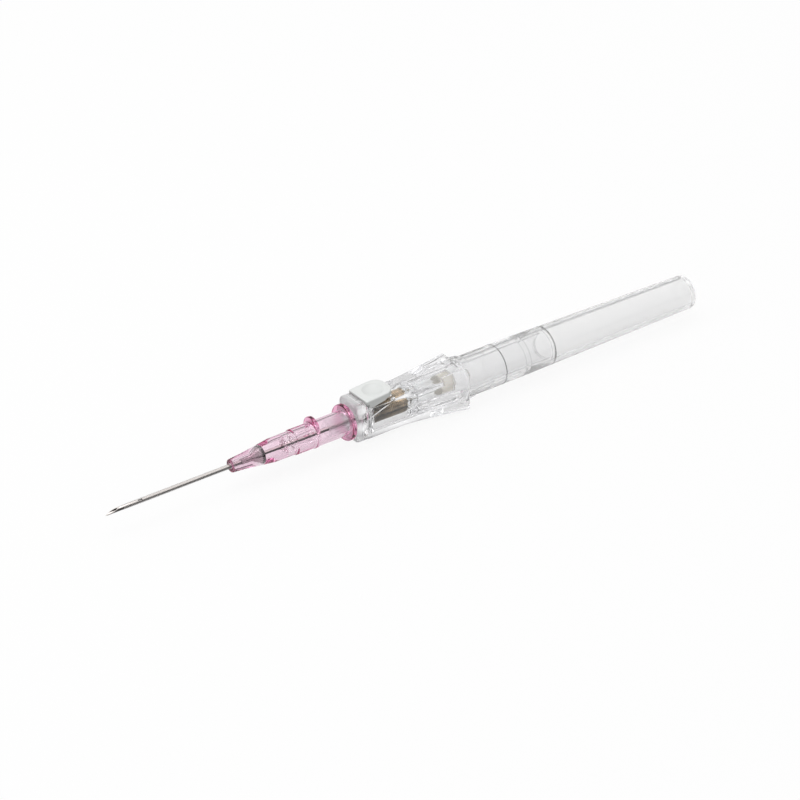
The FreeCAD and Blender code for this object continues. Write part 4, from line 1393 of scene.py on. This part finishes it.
def make_camera():
    azimuth, roll = math.radians(CAMERA_AZIMUTH), math.radians(CAMERA_ROLL)
    back = camera_back()
    level = Vector((math.cos(azimuth), math.sin(azimuth), 0))
    upward = back.cross(level)
    right = level * math.cos(roll) + upward * math.sin(roll)
    up = upward * math.cos(roll) - level * math.sin(roll)
    data = bpy.data.cameras.new("camera")
    data.sensor_width = SENSOR_WIDTH
    data.lens = CAMERA_PIXELS_PER_MM * CAMERA_DISTANCE / PICTURE_WIDTH * SENSOR_WIDTH
    half = PICTURE_WIDTH / 2
    data.shift_x = (half - TARGET_PIXEL[0]) / PICTURE_WIDTH
    data.shift_y = (TARGET_PIXEL[1] - half) / PICTURE_WIDTH
    data.clip_start = 0.05
    data.clip_end = 10
    camera = bpy.data.objects.new("camera", data)
    target = Vector((CAMERA_TARGET_X * MM, 0, 0))
    place = target + back * CAMERA_DISTANCE * MM
    camera.matrix_world = Matrix((
        (right.x, up.x, back.x, place.x), (right.y, up.y, back.y, place.y), (right.z, up.z, back.z, place.z),
        (0, 0, 0, 1)))
    bpy.context.scene.collection.objects.link(camera)
    bpy.context.scene.camera = camera


def make_stage(context):
    make_floor()
    make_world()
    make_lamp("overhead", (0.0, 0.1, 0.6), (0.5, 0.35), 1.0)
    make_lamp("side", (-0.5, 0.25, 0.4), (0.3, 0.3), 0.8)
    make_camera()
    context.scene.view_settings.view_transform = "Standard"
    # Light stays in clear plastic for many turns, and a path that is cut short would leave a black patch
    context.scene.cycles.max_bounces = 32
    context.scene.cycles.glossy_bounces = 20
    context.scene.cycles.transmission_bounces = 28


# Operators, one for each piece or group of like pieces, and one for the stage

class CannulaPiece:
    bl_options = {"REGISTER", "UNDO"}
    make = None

    def execute(self, context):
        type(self).make(context)
        return {"FINISHED"}


class CANNULA_OT_needle(CannulaPiece, bpy.types.Operator):
    """Steel needle with its bevel, lancet grind and notch"""
    bl_idname = "cannula.needle"
    bl_label = "Needle"
    make = staticmethod(make_needle)


class CANNULA_OT_catheter(CannulaPiece, bpy.types.Operator):
    """Soft catheter tube and the metal wedge in its rear"""
    bl_idname = "cannula.catheter"
    bl_label = "Catheter tube and wedge"
    make = staticmethod(make_catheter)


class CANNULA_OT_hub(CannulaPiece, bpy.types.Operator):
    """Pink hub with its push-off tab and luer flange"""
    bl_idname = "cannula.hub"
    bl_label = "Hub"
    make = staticmethod(make_hub)


class CANNULA_OT_blood_control(CannulaPiece, bpy.types.Operator):
    """Septum and the plunger behind it"""
    bl_idname = "cannula.blood_control"
    bl_label = "Septum and actuator"
    make = staticmethod(make_blood_control)


class CANNULA_OT_carriage(CannulaPiece, bpy.types.Operator):
    """Clear needle carriage with its adhesive and vent plug"""
    bl_idname = "cannula.carriage"
    bl_label = "Needle carriage"
    make = staticmethod(make_carriage)


class CANNULA_OT_spring(CannulaPiece, bpy.types.Operator):
    """Compressed retraction spring"""
    bl_idname = "cannula.spring"
    bl_label = "Spring"
    make = staticmethod(make_spring)


class CANNULA_OT_grip(CannulaPiece, bpy.types.Operator):
    """Clear grip housing"""
    bl_idname = "cannula.grip"
    bl_label = "Grip"
    make = staticmethod(make_grip)


class CANNULA_OT_button(CannulaPiece, bpy.types.Operator):
    """Push button with its dish, skirts and latch plate"""
    bl_idname = "cannula.button"
    bl_label = "Button"
    make = staticmethod(make_button)


class CANNULA_OT_barrel(CannulaPiece, bpy.types.Operator):
    """Pale rear barrel"""
    bl_idname = "cannula.barrel"
    bl_label = "Barrel"
    make = staticmethod(make_barrel)


class CANNULA_OT_stage(CannulaPiece, bpy.types.Operator):
    """Floor, light and camera"""
    bl_idname = "cannula.stage"
    bl_label = "Stage"
    make = staticmethod(make_stage)


OPERATORS = (
    CANNULA_OT_needle, CANNULA_OT_catheter, CANNULA_OT_hub, CANNULA_OT_blood_control, CANNULA_OT_carriage,
    CANNULA_OT_spring, CANNULA_OT_grip, CANNULA_OT_button, CANNULA_OT_barrel, CANNULA_OT_stage,
)


class CANNULA_PT_panel(bpy.types.Panel):
    """Lists the pieces and their sizes and colours"""
    bl_idname = "CANNULA_PT_panel"
    bl_label = "Venous cannula"
    bl_space_type = "VIEW_3D"
    bl_region_type = "UI"
    bl_category = "Cannula"

    def draw(self, context):
        layout = self.layout
        for operator in OPERATORS:
            layout.operator(operator.bl_idname)
        for group in (context.scene.cannula_sizes, context.scene.cannula_colours):
            box = layout.box()
            for name in group.__annotations__:
                box.prop(group, name)


CLASSES = (CannulaSizes, CannulaColours, *OPERATORS, CANNULA_PT_panel)


def register():
    for item in CLASSES:
        bpy.utils.register_class(item)
    bpy.types.Scene.cannula_sizes = PointerProperty(type=CannulaSizes)
    bpy.types.Scene.cannula_colours = PointerProperty(type=CannulaColours)


def unregister():
    del bpy.types.Scene.cannula_colours
    del bpy.types.Scene.cannula_sizes
    for item in reversed(CLASSES):
        bpy.utils.unregister_class(item)


def main():
    register()
    for operator in OPERATORS:
        group, name = operator.bl_idname.split(".")
        getattr(getattr(bpy.ops, group), name)()


if __name__ == "__main__":
    main()
